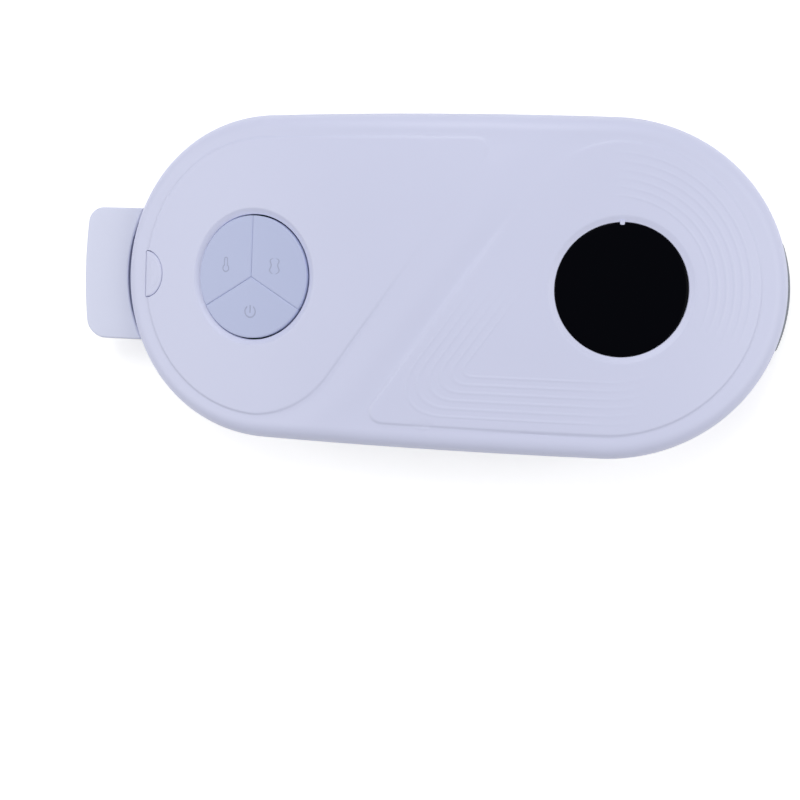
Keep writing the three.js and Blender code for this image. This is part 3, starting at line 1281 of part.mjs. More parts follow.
// Shell screws from the back.
screwNumber = 0;
for (const [s, y] of screwPlaces) {
  const low = BACK_OUTER + PART_GAP;
  addScrew('shell', screwBody(
    SCREW_RADIUS, SCREW_HEAD_RADIUS, SCREW_HEAD_HEIGHT, low, bossEnd + SCREW_BITE - PART_GAP,
  ), faceFrame(s, y));
}

add('front_shell', shape(frontShell), 'shell');
add('back_shell', shape(backShell), 'shell');

export default massager;
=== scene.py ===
"""A heated abdominal massager: a bent white housing with a round key pad and a round display,
a soft contact pad, a folded waist belt and its snap-in buckle.

Sizes are millimetres until a mesh is made, which turns them into metres. A place on the
housing is (s, y, h): s along the bent face from its middle, y across it, h above it.
"""
import json
import math

import bmesh
import bpy
import numpy as np
from mathutils import Matrix, Vector


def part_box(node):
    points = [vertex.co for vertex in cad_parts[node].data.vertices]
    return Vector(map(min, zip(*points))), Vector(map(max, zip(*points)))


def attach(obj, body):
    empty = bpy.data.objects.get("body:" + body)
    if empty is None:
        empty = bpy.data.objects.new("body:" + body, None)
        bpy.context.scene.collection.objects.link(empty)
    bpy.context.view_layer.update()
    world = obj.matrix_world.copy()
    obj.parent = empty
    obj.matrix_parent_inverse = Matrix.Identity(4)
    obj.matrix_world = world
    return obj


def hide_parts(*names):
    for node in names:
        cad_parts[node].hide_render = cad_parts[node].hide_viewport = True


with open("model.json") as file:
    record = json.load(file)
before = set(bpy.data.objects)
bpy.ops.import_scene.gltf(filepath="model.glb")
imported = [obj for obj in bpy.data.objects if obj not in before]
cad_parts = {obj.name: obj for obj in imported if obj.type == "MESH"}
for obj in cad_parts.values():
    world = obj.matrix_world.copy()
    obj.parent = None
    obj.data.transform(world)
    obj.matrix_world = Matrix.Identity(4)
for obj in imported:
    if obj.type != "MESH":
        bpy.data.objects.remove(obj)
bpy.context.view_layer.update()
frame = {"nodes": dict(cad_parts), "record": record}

MM = 0.001
QUARTER = math.pi / 2
SHARP_ANGLE = math.radians(32)

# Housing.
FACE_RADIUS = 340
HALF_LENGTH = 116.1
HALF_WIDTH = 54
CAP_STRETCH = 1.0815
FRONT_DEPTH = 11
BACK_DEPTH = 20.5
EDGE_ROUND = 5.6
BACK_ROUND = 5
FACE_WALL = 2.2
SIDE_WALL = 2.3
SEAM_ROUND = 0.35
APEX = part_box("front_shell")[1][2] / MM
CAP_PLACE = HALF_LENGTH - HALF_WIDTH * CAP_STRETCH

# Round openings for the key pad and the display.
ROUND_PLACE = 61.4
KEY_OPENING = 20.9
LENS_OPENING = 21.1
BEVEL_WIDTH = 2.1
BEVEL_LIP = 0.35
LENS_BEVEL = 0.6
KEY_BEVEL = 0.85
LENS_GAP = 0.16
LENS_TOP = -0.5
LENS_DOME = 0.12
LENS_EDGE = 0.35
LENS_SKIRT = 1.9
NUB_PLACE = 60.4

# Teardrop relief: a round end, a turn, a straight slant and a tail, and fine ridges inside.
PETAL_RADIUS = 46.2
PETAL_PLACE = 57.8
PETAL_STRETCH = 1.039
TURN_PLACE = 60.5
TURN_RADIUS = 34.5
SLANT_ANGLE = math.radians(55.4)
PETAL_STEP = 0.42
PETAL_SPREAD = 8.5
CREASE_BLUR = 0.55
GROOVE_WIDTH = 0.42
GROOVE_DEPTH = 0.11
TIP_ROUND = 7
RIDGE_FIRST = 3.7
RIDGE_PITCH = 2.65
RIDGE_COUNT = 6
RIDGE_ROUND = 21
RIDGE_HEIGHT = 0.085

# Keys.
KEY_GAP = 0.5
KEY_SPLIT = 0.05
KEY_EDGE = 0.6
KEY_EDGE_DROP = 0.4
KEY_CORNER = 0.3
KEY_PROUD = 0.12
KEY_CROWN = 0.18
KEY_SKIRT = 3
KEY_HALF_ANGLE = math.radians(60)

# Release button.
RELEASE_PLACE = 105.8
RELEASE_RADIUS = 8
RELEASE_SHARE = 0.92
RELEASE_GAP = 0.24
RELEASE_CORNER = 0.4
RELEASE_SKIRT = 3

# Back shell and contact pad.
SEAM_GAP = 0.25
PAD_INSET = 5
PAD_THICKNESS = 4.2
PAD_ROUND = 2.2
PAD_LOW = -BACK_DEPTH - 0.3 - PAD_THICKNESS
PAD_POCKET = -23.3
PAD_SEAM = 9.5
FOAM_INSET = 7.2
FOAM_HIGH = -21.1
FOAM_LOW = -22.3
DOME_S = 52
DOME_Y = 30
DOME_RADIUS = 7.5
DOME_HEIGHT = 2.2

# Buckle: its tab's upper side is level, a little below the face at the housing's end.
END_ANGLE = HALF_LENGTH / FACE_RADIUS
END_REACH = (FACE_RADIUS - 7) * math.sin(END_ANGLE)
TAB_TOP = APEX - FACE_RADIUS + (FACE_RADIUS - 7) * math.cos(END_ANGLE)
TAB_THICKNESS = 4.6
TAB_MIDDLE = TAB_TOP - TAB_THICKNESS / 2
TAB_INNER = END_REACH + 3.7
TAB_OUTER = END_REACH + 20.7
TAB_HALF = 23.6
TAB_CROWN = 1.6
TAB_UPPER_CORNER = 5
TAB_LOWER_CORNER = 6.5
TONGUE_END = END_REACH - 18.5
TONGUE_HALF = 16.8
TONGUE_THICKNESS = 2
TONGUE_GAP = 0.35
BAR_RADIUS = 1.9
BAR_X = 8.3 - TAB_OUTER

# Belt.
BELT_WIDTH = 36
BELT_THICKNESS = 2
BELT_PITCH = 2.35
BELT_FOLD_REACH = 50
BELT_OUTER = END_REACH + 3.1
BELT_ANCHOR = 20
BELT_EXIT = 14.6
BELT_SEAM = 92
BELT_TURNS = 4
BELT_SLOPE = 0.5
LOOP_SLOPE = 0.7
LOOP_GAP = 0.3
FLOOR_LINE = BELT_THICKNESS / 2
BAR_Z = BELT_THICKNESS + LOOP_GAP + BAR_RADIUS

# Grid counts.
CAP_STATIONS = 150
STRAIGHT_STATIONS = 60
MIDDLE_STATIONS = 80
FACE_ROWS = 64
PAD_STRAIGHT = 130
PAD_CAP = 88

# Colours.
SHELL_WHITE = (0.66, 0.685, 0.88)
TAB_WHITE = (0.71, 0.74, 0.91)
# Painted shade: the tongue and the tab's inner side are coloured dark grey to stand for the shadow
# in the gap between the tab and the housing's end.
TONGUE_GAP_SHADE = (0.3, 0.32, 0.45)
KEY_LILAC = (0.5, 0.55, 0.78)

# Room and camera; the camera's place is in millimetres from the face's top.
FLOOR_REACH = 3.0
FLOOR_GLOW = 0.45
ROOM_LEVEL = 0.36
LAMP_AIM = (0, 0, 0.02)
CAMERA_LENS = 53.369
CAMERA_PLACE = (73.735, -6.912, 372.916)
CAMERA_LOOK = (-0.21183, -0.08108, -0.97394)
CAMERA_UP = (-0.05585, 0.99593, -0.07077)


def bend(place):
    """Bends (s, y, h) round an axis along y below the face: x is (radius + h) sine of
    s / radius, and z is the same with the cosine, lifted to the face's top."""
    s, y, h = np.moveaxis(np.asarray(place, float), -1, 0)
    reach = FACE_RADIUS + h
    return np.stack([
        reach * np.sin(s / FACE_RADIUS),
        y,
        APEX - FACE_RADIUS + reach * np.cos(s / FACE_RADIUS),
    ], axis=-1)


def unbend(point):
    """The (s, y, h) of points, the reverse of bend."""
    x, y, z = np.moveaxis(np.asarray(point, float), -1, 0)
    z = z - APEX + FACE_RADIUS
    return np.stack([FACE_RADIUS * np.arctan2(x, z), y, np.hypot(x, z) - FACE_RADIUS], axis=-1)


def ease(low, high, value):
    """0 below low, 1 above high, and a smooth rise between."""
    share = np.clip((value - low) / (high - low), 0, 1)
    return share * share * (3 - 2 * share)


def join(*columns):
    """Stacks numbers and arrays into points, spread to one common shape."""
    return np.stack(np.broadcast_arrays(*columns), axis=-1).astype(float)


class Skin:
    """Patches of grid points in millimetres that bound one piece together."""

    def __init__(self):
        self.points = []
        self.quads = []
        self.total = 0

    def patch(self, grid, closed=False):
        """Adds a grid of points; closed joins its last column to its first."""
        rows, columns = grid.shape[:2]
        index = np.arange(rows * columns).reshape(rows, columns) + self.total
        if closed:
            index = np.concatenate([index, index[:, :1]], axis=1)
        corners = index[:-1, :-1], index[1:, :-1], index[1:, 1:], index[:-1, 1:]
        self.quads.append(np.stack(corners, axis=-1).reshape(-1, 4))
        self.points.append(grid.reshape(-1, 3))
        self.total += rows * columns
        return self

    def mesh(self, name, weld=0.002):
        """One mesh of all the patches, with points closer than weld made one."""
        points = np.concatenate(self.points)
        keys = np.round(points / weld).astype(np.int64)
        _, first, place = np.unique(keys, axis=0, return_index=True, return_inverse=True)
        self.kept = first
        quads = place.reshape(-1)[np.concatenate(self.quads)]
        same = quads == np.roll(quads, -1, axis=1)
        faces = quads[~same.any(axis=1)].tolist()
        single = same.sum(axis=1) == 1
        faces += quads[single][~same[single]].reshape(-1, 3).tolist()
        mesh = bpy.data.meshes.new(name)
        mesh.from_pydata((points[first] * MM).tolist(), [], faces)
        return mesh


def tube(name, rings):
    """A mesh of closed rings of points, each joined to the next."""
    return Skin().patch(np.stack(rings), closed=True).mesh(name)


def add(name, data):
    """Puts a mesh, a lamp or a camera into the scene at the origin."""
    obj = bpy.data.objects.new(name, data)
    bpy.context.scene.collection.objects.link(obj)
    return obj


def piece(name, mesh, body, slot, instead, finish=None):
    """Makes the object of a mesh, turns its faces outwards, hangs it under its body's empty and
    hides the model part it takes the place of. Its finish is its slot's own one where no other is
    given."""
    outward(mesh)
    mesh.shade_smooth()
    mesh.set_sharp_from_angle(angle=SHARP_ANGLE)
    mesh.materials.append((finish or finishes[slot]).material)
    obj = add(name, mesh)
    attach(obj, body)
    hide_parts(instead)
    return obj


def outward(mesh):
    """Turns a closed mesh's faces outwards."""
    work = bmesh.new()
    work.from_mesh(mesh)
    bmesh.ops.recalc_face_normals(work, faces=work.faces)
    work.to_mesh(mesh)
    work.free()
    return mesh


def cut(mesh, tools):
    """The mesh with the closed tool meshes cut out of it."""
    return combine(mesh, tools, "DIFFERENCE")


def combine(mesh, tools, operation):
    """The mesh with the closed tool meshes joined to it or cut out of it."""
    base = add(mesh.name, outward(mesh))
    helpers = []
    for tool in tools:
        helper = add(tool.name, outward(tool))
        helpers.append(helper)
        step = base.modifiers.new("step", "BOOLEAN")
        step.operation = operation
        step.solver = "EXACT"
        step.object = helper
    graph = bpy.context.evaluated_depsgraph_get()
    result = bpy.data.meshes.new_from_object(base.evaluated_get(graph))
    for obj in [base, *helpers]:
        bpy.data.objects.remove(obj)
    return result


def places(mesh):
    """The (s, y, h) of every point of a mesh."""
    flat = np.empty(len(mesh.vertices) * 3)
    mesh.vertices.foreach_get("co", flat)
    return unbend(flat.reshape(-1, 3) / MM)


def note(mesh, name, values):
    """Keeps one number per point of a mesh for its material."""
    layer = mesh.attributes.new(name, "FLOAT", "POINT")
    layer.data.foreach_set("value", np.asarray(values, np.float32))


# Teardrop relief.

def soft_least(a, b, rounding):
    """The lesser of a and b, with the corner where both are small turned into an arc."""
    inner = rounding - np.hypot(rounding - np.minimum(a, rounding),
                                rounding - np.minimum(b, rounding))
    return np.where((a < rounding) & (b < rounding), inner, np.minimum(a, b))


def oval_depth(s, y, long, wide):
    """How far a point lies inside an oval about the origin: one less the scaled distance,
    over that distance's slope."""
    scaled = np.maximum(np.hypot(s / long, y / wide), 0.001)
    slope = np.maximum(np.hypot(s / long ** 2, y / wide ** 2), 0.00001) / scaled
    return (1 - scaled) / slope


def petal_depth(s, y, rounding):
    """How far a point lies inside the left teardrop: the least distance to its round end,
    to the turn below it, to the slant and to the tail along the top."""
    tail = PETAL_RADIUS - y
    turn_y = TURN_RADIUS - PETAL_RADIUS
    corner_s = TURN_RADIUS * math.sin(SLANT_ANGLE) - TURN_PLACE
    corner_y = turn_y - TURN_RADIUS * math.cos(SLANT_ANGLE)
    along = (s - corner_s) * math.cos(SLANT_ANGLE) + (y - corner_y) * math.sin(SLANT_ANGLE)
    slant = (y - corner_y) * math.cos(SLANT_ANGLE) - (s - corner_s) * math.sin(SLANT_ANGLE)
    turn = TURN_RADIUS - np.hypot(s + TURN_PLACE, y - turn_y)
    lower = np.where(along > 0, slant, turn)
    end = oval_depth(s + PETAL_PLACE, y, PETAL_RADIUS * PETAL_STRETCH, PETAL_RADIUS)
    blend = ease(-TURN_PLACE - 3, -PETAL_PLACE + 3, s)
    return end + (soft_least(tail, lower, rounding) - end) * blend, along


def crease_shares(s, y, along, side):
    """The shares of a crease's step and of its groove. Both are full round the end. The
    left teardrop's slant and tail fade towards the tip. The right one's slant fades towards
    the turn and has a taller step in its lower half."""
    if side > 0:
        slant = 0.9 * ease(12, 55, along)
        tail = 0.5 * ease(-50, 10, s)
        share = 1 - slant - (tail - slant) * ease(PETAL_RADIUS - 9, PETAL_RADIUS - 2, y)
        return share, share
    slant = ease(-75, -55, s) * ease(-34, -10, along) * (1 - ease(60, 80, along))
    share = (0.65 + 0.35 * ease(-15, 15, y)) * (1 - 0.9 * slant)
    return share + 1.4 * slant * ease(5, 35, along), share


def relief(s, y):
    """The step down outside each teardrop, which rises again towards the rim."""
    fall = 0
    for side in (1, -1):
        depth, along = petal_depth(side * s, side * y, TIP_ROUND)
        outside = ease(-CREASE_BLUR, CREASE_BLUR, -depth) * (1 - ease(0, PETAL_SPREAD, -depth))
        fall = fall + outside * crease_shares(side * s, side * y, along, side)[0]
    return -PETAL_STEP * fall


def ridge_strength(s, y):
    """Where the fine ridges of the right teardrop show: above right of the display, and
    along the bottom, up to the slant, fading at both ends."""
    turn = np.degrees(np.arctan2(y, s - PETAL_PLACE))
    upper = ease(-30, 0, turn) * (1 - ease(70, 95, turn))
    lower = (1 - ease(40, 78, s)) * (1 - ease(-20, 6, y))
    return np.clip(upper + lower, 0, 1)


# Housing outline.

# Feet on the middle line and directions round the right half of the outline, from the middle
# of the lower side over the end and back along the top; then round all of it.
RUN = np.linspace(0, CAP_PLACE, STRAIGHT_STATIONS)
FEET = np.concatenate([RUN, np.full(CAP_STATIONS - 2, CAP_PLACE), RUN[::-1]])
TURNS = np.concatenate([
    np.full(STRAIGHT_STATIONS, -QUARTER), np.linspace(-QUARTER, QUARTER, CAP_STATIONS)[1:-1],
    np.full(STRAIGHT_STATIONS, QUARTER),
])
LOOP_FEET = np.concatenate([FEET, -FEET[1:-1]])
LOOP_TURNS = np.concatenate([TURNS, TURNS[1:-1] + math.pi])
PAD_FEET = CAP_PLACE * np.concatenate([
    np.linspace(-1, 1, PAD_STRAIGHT), np.full(PAD_CAP, 1),
    np.linspace(1, -1, PAD_STRAIGHT), np.full(PAD_CAP, -1),
])
PAD_TURNS = np.concatenate([
    np.full(PAD_STRAIGHT, -QUARTER), np.linspace(-QUARTER, QUARTER, PAD_CAP + 2)[1:-1],
    np.full(PAD_STRAIGHT, QUARTER), np.linspace(QUARTER, 3 * QUARTER, PAD_CAP + 2)[1:-1],
])


def arc(radius, turns, s=0, y=0):
    """Points round a centre at an array of angles."""
    return s + radius * np.cos(turns), y + radius * np.sin(turns)


def outline(inset, feet, turns):
    """Points at the foot plus the direction times the half width less the inset, stretched
    along the housing so that its ends are half ovals."""
    reach = HALF_WIDTH - inset
    return feet + reach * CAP_STRETCH * np.cos(turns), reach * np.sin(turns)


def half_loop(inset):
    """The right half of the outline, closed down the middle of the face."""
    s, y = outline(inset, FEET, TURNS)
    middle = np.linspace(y[-1], y[0], MIDDLE_STATIONS)[1:-1]
    return np.concatenate([s, np.zeros(middle.size)]), np.concatenate([y, middle])


def opening_ring(inset, radius):
    """The circle round the right opening, one point below each point of the half loop."""
    s, y = half_loop(inset)
    return arc(radius, np.arctan2(y, s - ROUND_PLACE), ROUND_PLACE)


def face_patch(side, inset, radius, rows):
    """Straight lines from the circle round an opening to the half loop; side -1 turns the
    patch half round onto the left half."""
    inner = np.stack(opening_ring(inset, radius))
    outer = np.stack(half_loop(inset))
    share = np.linspace(0, 1, rows)[:, None, None]
    s, y = np.moveaxis(inner + (outer - inner) * share, 1, 0)
    return side * s, side * y


def rounded(radius, count, h, way):
    """(inset, height) steps of a quarter circle that leads from a level face at h to an
    upright side, down for way -1 and up for way 1."""
    return [(radius * (1 - math.sin(a)), h + way * radius * (1 - math.cos(a)))
            for a in np.linspace(0, QUARTER, count)]


def front_mesh():
    """Two face patches, the rim all round them and the walls of the round openings."""
    skin = Skin()
    for side, opening, deep in ((1, LENS_OPENING, LENS_BEVEL), (-1, KEY_OPENING, KEY_BEVEL)):
        s, y = face_patch(side, EDGE_ROUND, opening + BEVEL_WIDTH, FACE_ROWS)
        skin.patch(bend(join(s, y, relief(s, y))), closed=True)
        s, y = face_patch(side, SIDE_WALL, opening, 3)
        skin.patch(bend(join(s, y, -FACE_WALL)), closed=True)
        wall = []
        profile = (
            (BEVEL_WIDTH, 0), (BEVEL_WIDTH * 0.92, 0.05), (BEVEL_WIDTH * 0.75, 0.28),
            (BEVEL_LIP * 1.6, 0.9), (BEVEL_LIP, 1), (BEVEL_LIP / 3, 1.1), (0, 1.4),
        )
        for width, share in profile:
            s, y = opening_ring(EDGE_ROUND, opening + width)
            h = -deep * share if share else relief(side * s, side * y)
            wall.append(bend(join(side * s, side * y, h)))
        s, y = opening_ring(SIDE_WALL, opening)
        foot = bend(join(side * s, side * y, -FACE_WALL))
        skin.patch(np.stack(wall), closed=True).patch(np.stack([wall[-1], foot]), closed=True)
    profile = rounded(EDGE_ROUND, 12, 0, -1)
    profile += rounded(SEAM_ROUND, 4, -FRONT_DEPTH, 1)[::-1]
    profile += [(SIDE_WALL, -FRONT_DEPTH), (SIDE_WALL, -FACE_WALL)]
    rim = []
    for inset, h in profile:
        s, y = outline(inset, LOOP_FEET, LOOP_TURNS)
        rim.append(bend(join(s, y, h + relief(s, y) * (h > -EDGE_ROUND / 2))))
    skin.patch(np.stack(rim), closed=True)
    return skin.mesh("housing_front")


# Keys, lens and release button.

def sector_outline(inset, turn):
    """A third of a circle about its own middle line: two straight sides half the split away
    from the parting lines, and an arc, with rounded corners."""
    inner = KEY_SPLIT / 2 + inset
    reach = KEY_OPENING - KEY_GAP - inset
    soft = max(KEY_CORNER - inset, 0.02)
    core = reach - soft
    middle = (soft + inner) / math.sin(KEY_HALF_ANGLE)
    lean = KEY_HALF_ANGLE - math.asin((inner + soft) / core)
    tip = QUARTER - KEY_HALF_ANGLE
    square = KEY_HALF_ANGLE + QUARTER
    s, y = np.concatenate([
        arc(soft, np.linspace(math.pi - tip, math.pi + tip, 9), middle, 0),
        arc(soft, np.linspace(-square, -lean, 9), core * math.cos(lean), -core * math.sin(lean)),
        arc(reach, np.linspace(-lean, lean, 72)[1:-1]),
        arc(soft, np.linspace(lean, square, 9), core * math.cos(lean), core * math.sin(lean)),
    ], axis=1)
    return s * math.cos(turn) - y * math.sin(turn), s * math.sin(turn) + y * math.cos(turn)


def key_crown(s, y):
    """The key pad's face: highest in the middle and falling slowly to the rim."""
    return KEY_PROUD + KEY_CROWN * (1 - (s * s + y * y) / KEY_OPENING ** 2)


def key_mesh(name, turn):
    """A sector's rim, rounded over into its crown, on a straight skirt."""
    rings = []

    def ring(s, y, h):
        rings.append(bend(join(s - ROUND_PLACE, y, h)))

    middle = np.array([arc((KEY_OPENING - KEY_GAP) / 2, turn)]).T
    inner = np.stack(sector_outline(KEY_EDGE, turn))
    for share in (0, 0.15, 0.3, 0.45, 0.6, 0.75, 0.88, 0.96):
        s, y = middle + (inner - middle) * share
        ring(s, y, key_crown(s, y))
    for inset, drop in rounded(KEY_EDGE, 6, 0, -KEY_EDGE_DROP):
        s, y = sector_outline(inset, turn)
        ring(s, y, key_crown(s, y) + drop)
    ring(s, y, -KEY_SKIRT)
    ring(*(middle + 0 * inner), -KEY_SKIRT)
    return tube(name, rings)


def lens_mesh():
    """The display's disc: a faintly domed face, a rounded edge and a skirt."""
    radius = LENS_OPENING - LENS_GAP
    turn = np.linspace(0, 2 * math.pi, 144, endpoint=False)
    profile = [(radius * share, 0) for share in np.linspace(0, 1 - LENS_EDGE / radius, 12)]
    profile += [(radius - inset, drop) for inset, drop in rounded(LENS_EDGE, 7, 0, -1)[1:]]
    profile = [(r, LENS_TOP + LENS_DOME * (1 - (r / radius) ** 2) + drop) for r, drop in profile]
    profile += [(radius, -LENS_SKIRT), (0, -LENS_SKIRT)]
    return tube("display_glass", [bend(join(*arc(r, turn, ROUND_PLACE, 0), h)) for r, h in profile])


def half_disc(inset):
    """Outline of the release button: a straight side and a half round, corners rounded."""
    radius = RELEASE_RADIUS - inset
    soft = max(RELEASE_CORNER - inset, 0.05)
    core = radius - soft
    near = inset + soft
    far = math.sqrt(core ** 2 - near ** 2)
    lean = math.atan2(far, near)
    s, y = np.concatenate([
        arc(soft, np.linspace(-math.pi, -lean, 8), near, -far),
        arc(radius, np.linspace(-lean, lean, 40)[1:-1]),
        arc(soft, np.linspace(lean, math.pi, 8), near, far),
    ], axis=1)
    return s * RELEASE_SHARE - RELEASE_PLACE, y


def half_disc_body(name, profile):
    """Rings of the half disc at (inset, height) steps, closed at both ends."""
    ends = []
    for inset, h in (profile[0], profile[-1]):
        s = half_disc(inset)[0]
        ends.append(bend(join(s * 0 + s.mean(), 0, h)))
    rings = [bend(join(*half_disc(inset), h)) for inset, h in profile]
    return tube(name, [ends[0], *rings, ends[1]])


# Back shell and contact pad.

def oval_mesh(name, profile):
    """A body of the housing's outline at (inset, height) steps."""
    return tube(name, [
        bend(join(*outline(inset, LOOP_FEET, LOOP_TURNS), h)) for inset, h in profile
    ])


def closed_face(inset, h, rows=24):
    """Rings that shrink from the outline onto the middle line, so that a level face bends."""
    return [(inset + (HALF_WIDTH - inset) * k / rows, h) for k in range(rows + 1)]


def back_mesh():
    """The rear half: an upright side with a fine edge at the seam, a round lower edge, a
    level underside, and the hollow inside."""
    top = -FRONT_DEPTH - SEAM_GAP
    return oval_mesh("housing_back", [
        *rounded(SEAM_ROUND, 4, top, -1), *rounded(BACK_ROUND, 12, -BACK_DEPTH, 1)[::-1],
        *closed_face(BACK_ROUND, -BACK_DEPTH)[1:],
        *closed_face(SIDE_WALL, FACE_WALL - BACK_DEPTH)[::-1],
        (SIDE_WALL, top), (SEAM_ROUND, top),
    ])


def dome_rise(s, y):
    """Height of the six massage domes: each rises from a soft foot to a round top."""
    rise = 0
    for along in (-DOME_S, 0, DOME_S):
        for across in (-DOME_Y, DOME_Y):
            away = np.hypot(s - along, y - across) / DOME_RADIUS
            rise = rise + DOME_HEIGHT * np.clip(1 - away ** 2, 0, 1) ** 0.7
    return rise


def pad_mesh():
    """The soft pad: a full, rounded edge, a faintly crowned face with its domes, sewn down
    along a line near the edge, and a pocket for the foam and the film in its upper side."""
    top = PAD_LOW + PAD_THICKNESS
    wall = PAD_INSET + 1.9
    profile = closed_face(wall, PAD_POCKET)[-2::-1]
    profile += [(wall, top), (PAD_INSET + 0.9, top), (PAD_INSET + 0.3, top - 0.25)]
    profile += [(PAD_INSET + i, PAD_LOW + h) for i, h in rounded(PAD_ROUND, 10, 0, 1)[::-1]]
    profile += [(PAD_INSET + PAD_ROUND + 0.6 * k, PAD_LOW) for k in range(1, 78)]
    rings = []
    for inset, h in profile + [(HALF_WIDTH, PAD_LOW)]:
        s, y = outline(inset, PAD_FEET, PAD_TURNS)
        if h < PAD_LOW + 0.01:
            seam = 0.75 * np.exp(-((inset - PAD_SEAM) / 0.7) ** 2)
            puff = 0.5 * ease(PAD_SEAM, PAD_SEAM + 5, np.full(s.shape, inset))
            h = h + seam - np.maximum(dome_rise(s, y), puff * 0.6)
        rings.append(bend(join(s, y, h)))
    return tube("massage_pad", rings)


# Plates with a closed outline.

def offset(path, inset):
    """A closed path moved inwards by an inset along its own normals, corners mitred."""
    first = path - np.roll(path, 1, axis=0)
    second = np.roll(path, -1, axis=0) - path
    first /= np.linalg.norm(first, axis=1, keepdims=True)
    second /= np.linalg.norm(second, axis=1, keepdims=True)
    along = first + second
    inward = np.stack([-along[:, 1], along[:, 0]], axis=1)
    inward /= np.linalg.norm(inward, axis=1, keepdims=True)
    straight = np.maximum((first * second).sum(axis=1), -0.6)
    return path + inward * (inset / np.sqrt((1 + straight) / 2))[:, None]


def rounded_box(low, high, radius):
    """A closed path round a rectangle with round corners, from corner to corner."""
    left, right = low[0] + radius, high[0] - radius
    under, over = low[1] + radius, high[1] - radius
    turn = np.linspace(0, QUARTER, 7)
    return np.concatenate([
        arc(radius, turn + k * QUARTER, *centre)
        for k, centre in enumerate(((right, over), (left, over), (left, under), (right, under)))
    ], axis=1).T


def slab(name, path, profile, place):
    """A plate of a closed path: (inset, height) steps over its edge, closed at both ends
    with rings that shrink onto the middle of its area; place turns (a, b, height) into
    points."""
    after = np.roll(path, -1, axis=0)
    twist = path[:, 0] * after[:, 1] - path[:, 1] * after[:, 0]
    middle = ((path + after) * twist[:, None]).sum(axis=0) / (3 * twist.sum())
    steps = [(*profile[0], share) for share in (0, 0.4, 0.8)]
    steps += [(*step, 1) for step in profile]
    steps += [(*profile[-1], share) for share in (0.8, 0.4, 0)]
    rings = []
    for inset, h, share in steps:
        ring = middle + (offset(path, inset) - middle) * share
        rings.append(place(ring[:, 0], ring[:, 1], h))
    return tube(name, rings)


def edged(top, low, radius, count=5):
    """(inset, height) steps from top to low with both edges rounded."""
    return rounded(radius, count, top, -1) + rounded(radius, count, low, 1)[::-1]


def level(a, b, h):
    """For outlines seen from above, with the height along z."""
    return join(a, b, h)


def upright(a, b, h):
    """For outlines in the xz plane, with the height across."""
    return join(a, h, b)


# Buckle.

def end_fall(y):
    """How far the housing's oval end falls back at y."""
    return HALF_WIDTH * CAP_STRETCH * (1 - np.sqrt(1 - (y / HALF_WIDTH) ** 2))


def tab_path():
    """The buckle tab from above: its inner side follows the housing's end, its outer side
    bows a little, and its outer corners are quarter circles."""
    turn = np.linspace(QUARTER, 0, 12)
    inner_y = TAB_HALF * np.concatenate([[-1], np.linspace(-0.93, 0.93, 56), [1]])
    upper_y = TAB_HALF - TAB_UPPER_CORNER * (1 - np.sin(turn))
    outer_y = np.linspace(TAB_HALF - TAB_UPPER_CORNER, TAB_LOWER_CORNER - TAB_HALF, 40)[1:-1]
    lower_y = TAB_LOWER_CORNER * (1 - np.sin(turn[::-1])) - TAB_HALF
    x = np.concatenate([TAB_UPPER_CORNER * (1 - np.cos(turn)), outer_y * 0,
                        TAB_LOWER_CORNER * (1 - np.cos(turn[::-1]))])
    y = np.concatenate([upper_y, outer_y, lower_y])
    outer = join(x + TAB_CROWN * (y / TAB_HALF) ** 2 - TAB_OUTER, y)
    return np.concatenate([join(0.95 * end_fall(inner_y) - TAB_INNER, inner_y), outer])


def buckle_mesh():
    """The tab, the tongue with its window, and the two lugs that hold the belt's bar."""
    tab = slab("buckle", tab_path(), edged(TAB_TOP, TAB_TOP - TAB_THICKNESS, 0.8, 7), level)
    high, low = TAB_MIDDLE + TONGUE_THICKNESS / 2, TAB_MIDDLE - TONGUE_THICKNESS / 2
    tongue_path = rounded_box((-TAB_INNER - 6, -TONGUE_HALF), (-TONGUE_END, TONGUE_HALF), 2)
    parts = [slab("tongue", tongue_path, edged(high, low, 0.3), level)]
    window_path = rounded_box((-TONGUE_END - 8, -5.5), (-TONGUE_END - 2, 5.5), 0.6)
    window = slab("window", window_path, [(0, high + 1), (0, low - 1)], level)
    lug = rounded_box((BAR_X - BAR_RADIUS - 0.6, BAR_Z - BAR_RADIUS - 0.1),
                      (BAR_X + BAR_RADIUS + 0.6, TAB_MIDDLE), BAR_RADIUS)
    for side in (-1, 1):
        low, high = sorted((side * (BELT_WIDTH / 2 + 0.6), side * (TAB_HALF - 1)))
        parts.append(slab("lug", lug, edged(high, low, 0.4), upright))
    turns = np.linspace(0, 4 * QUARTER, 32, endpoint=False)
    bar = join(*arc(BAR_RADIUS, turns, BAR_X, BAR_Z))
    parts.append(slab("bar", bar, [(0, TAB_HALF - 2), (0, 2 - TAB_HALF)], upright))
    return cut(combine(tab, parts, "UNION"), [window])


# Belt.

class BeltLine:
    """A belt's middle line in the xz plane: straight runs and turns, a point each 1 mm."""

    def __init__(self, x, z, heading):
        self.points = [(x, z, heading)]

    def run(self, length):
        """Goes on straight."""
        x, z, heading = self.points[-1]
        for reach in np.linspace(0, length, max(int(abs(length)), 1) + 1)[1:]:
            self.points.append((x + math.cos(heading) * reach, z + math.sin(heading) * reach,
                                heading))
        return self

    def turn(self, radius, angle):
        """Goes on round an arc, to the left where the angle is positive."""
        x, z, heading = self.points[-1]
        side = math.copysign(radius, angle)
        steps = max(int(abs(angle) / 0.16), int(abs(angle) * radius), 3)
        for lean in np.linspace(0, angle, steps + 1)[1:]:
            way = heading + lean
            self.points.append((
                x + side * (math.sin(way) - math.sin(heading)),
                z - side * (math.cos(way) - math.cos(heading)),
                way,
            ))
        return self


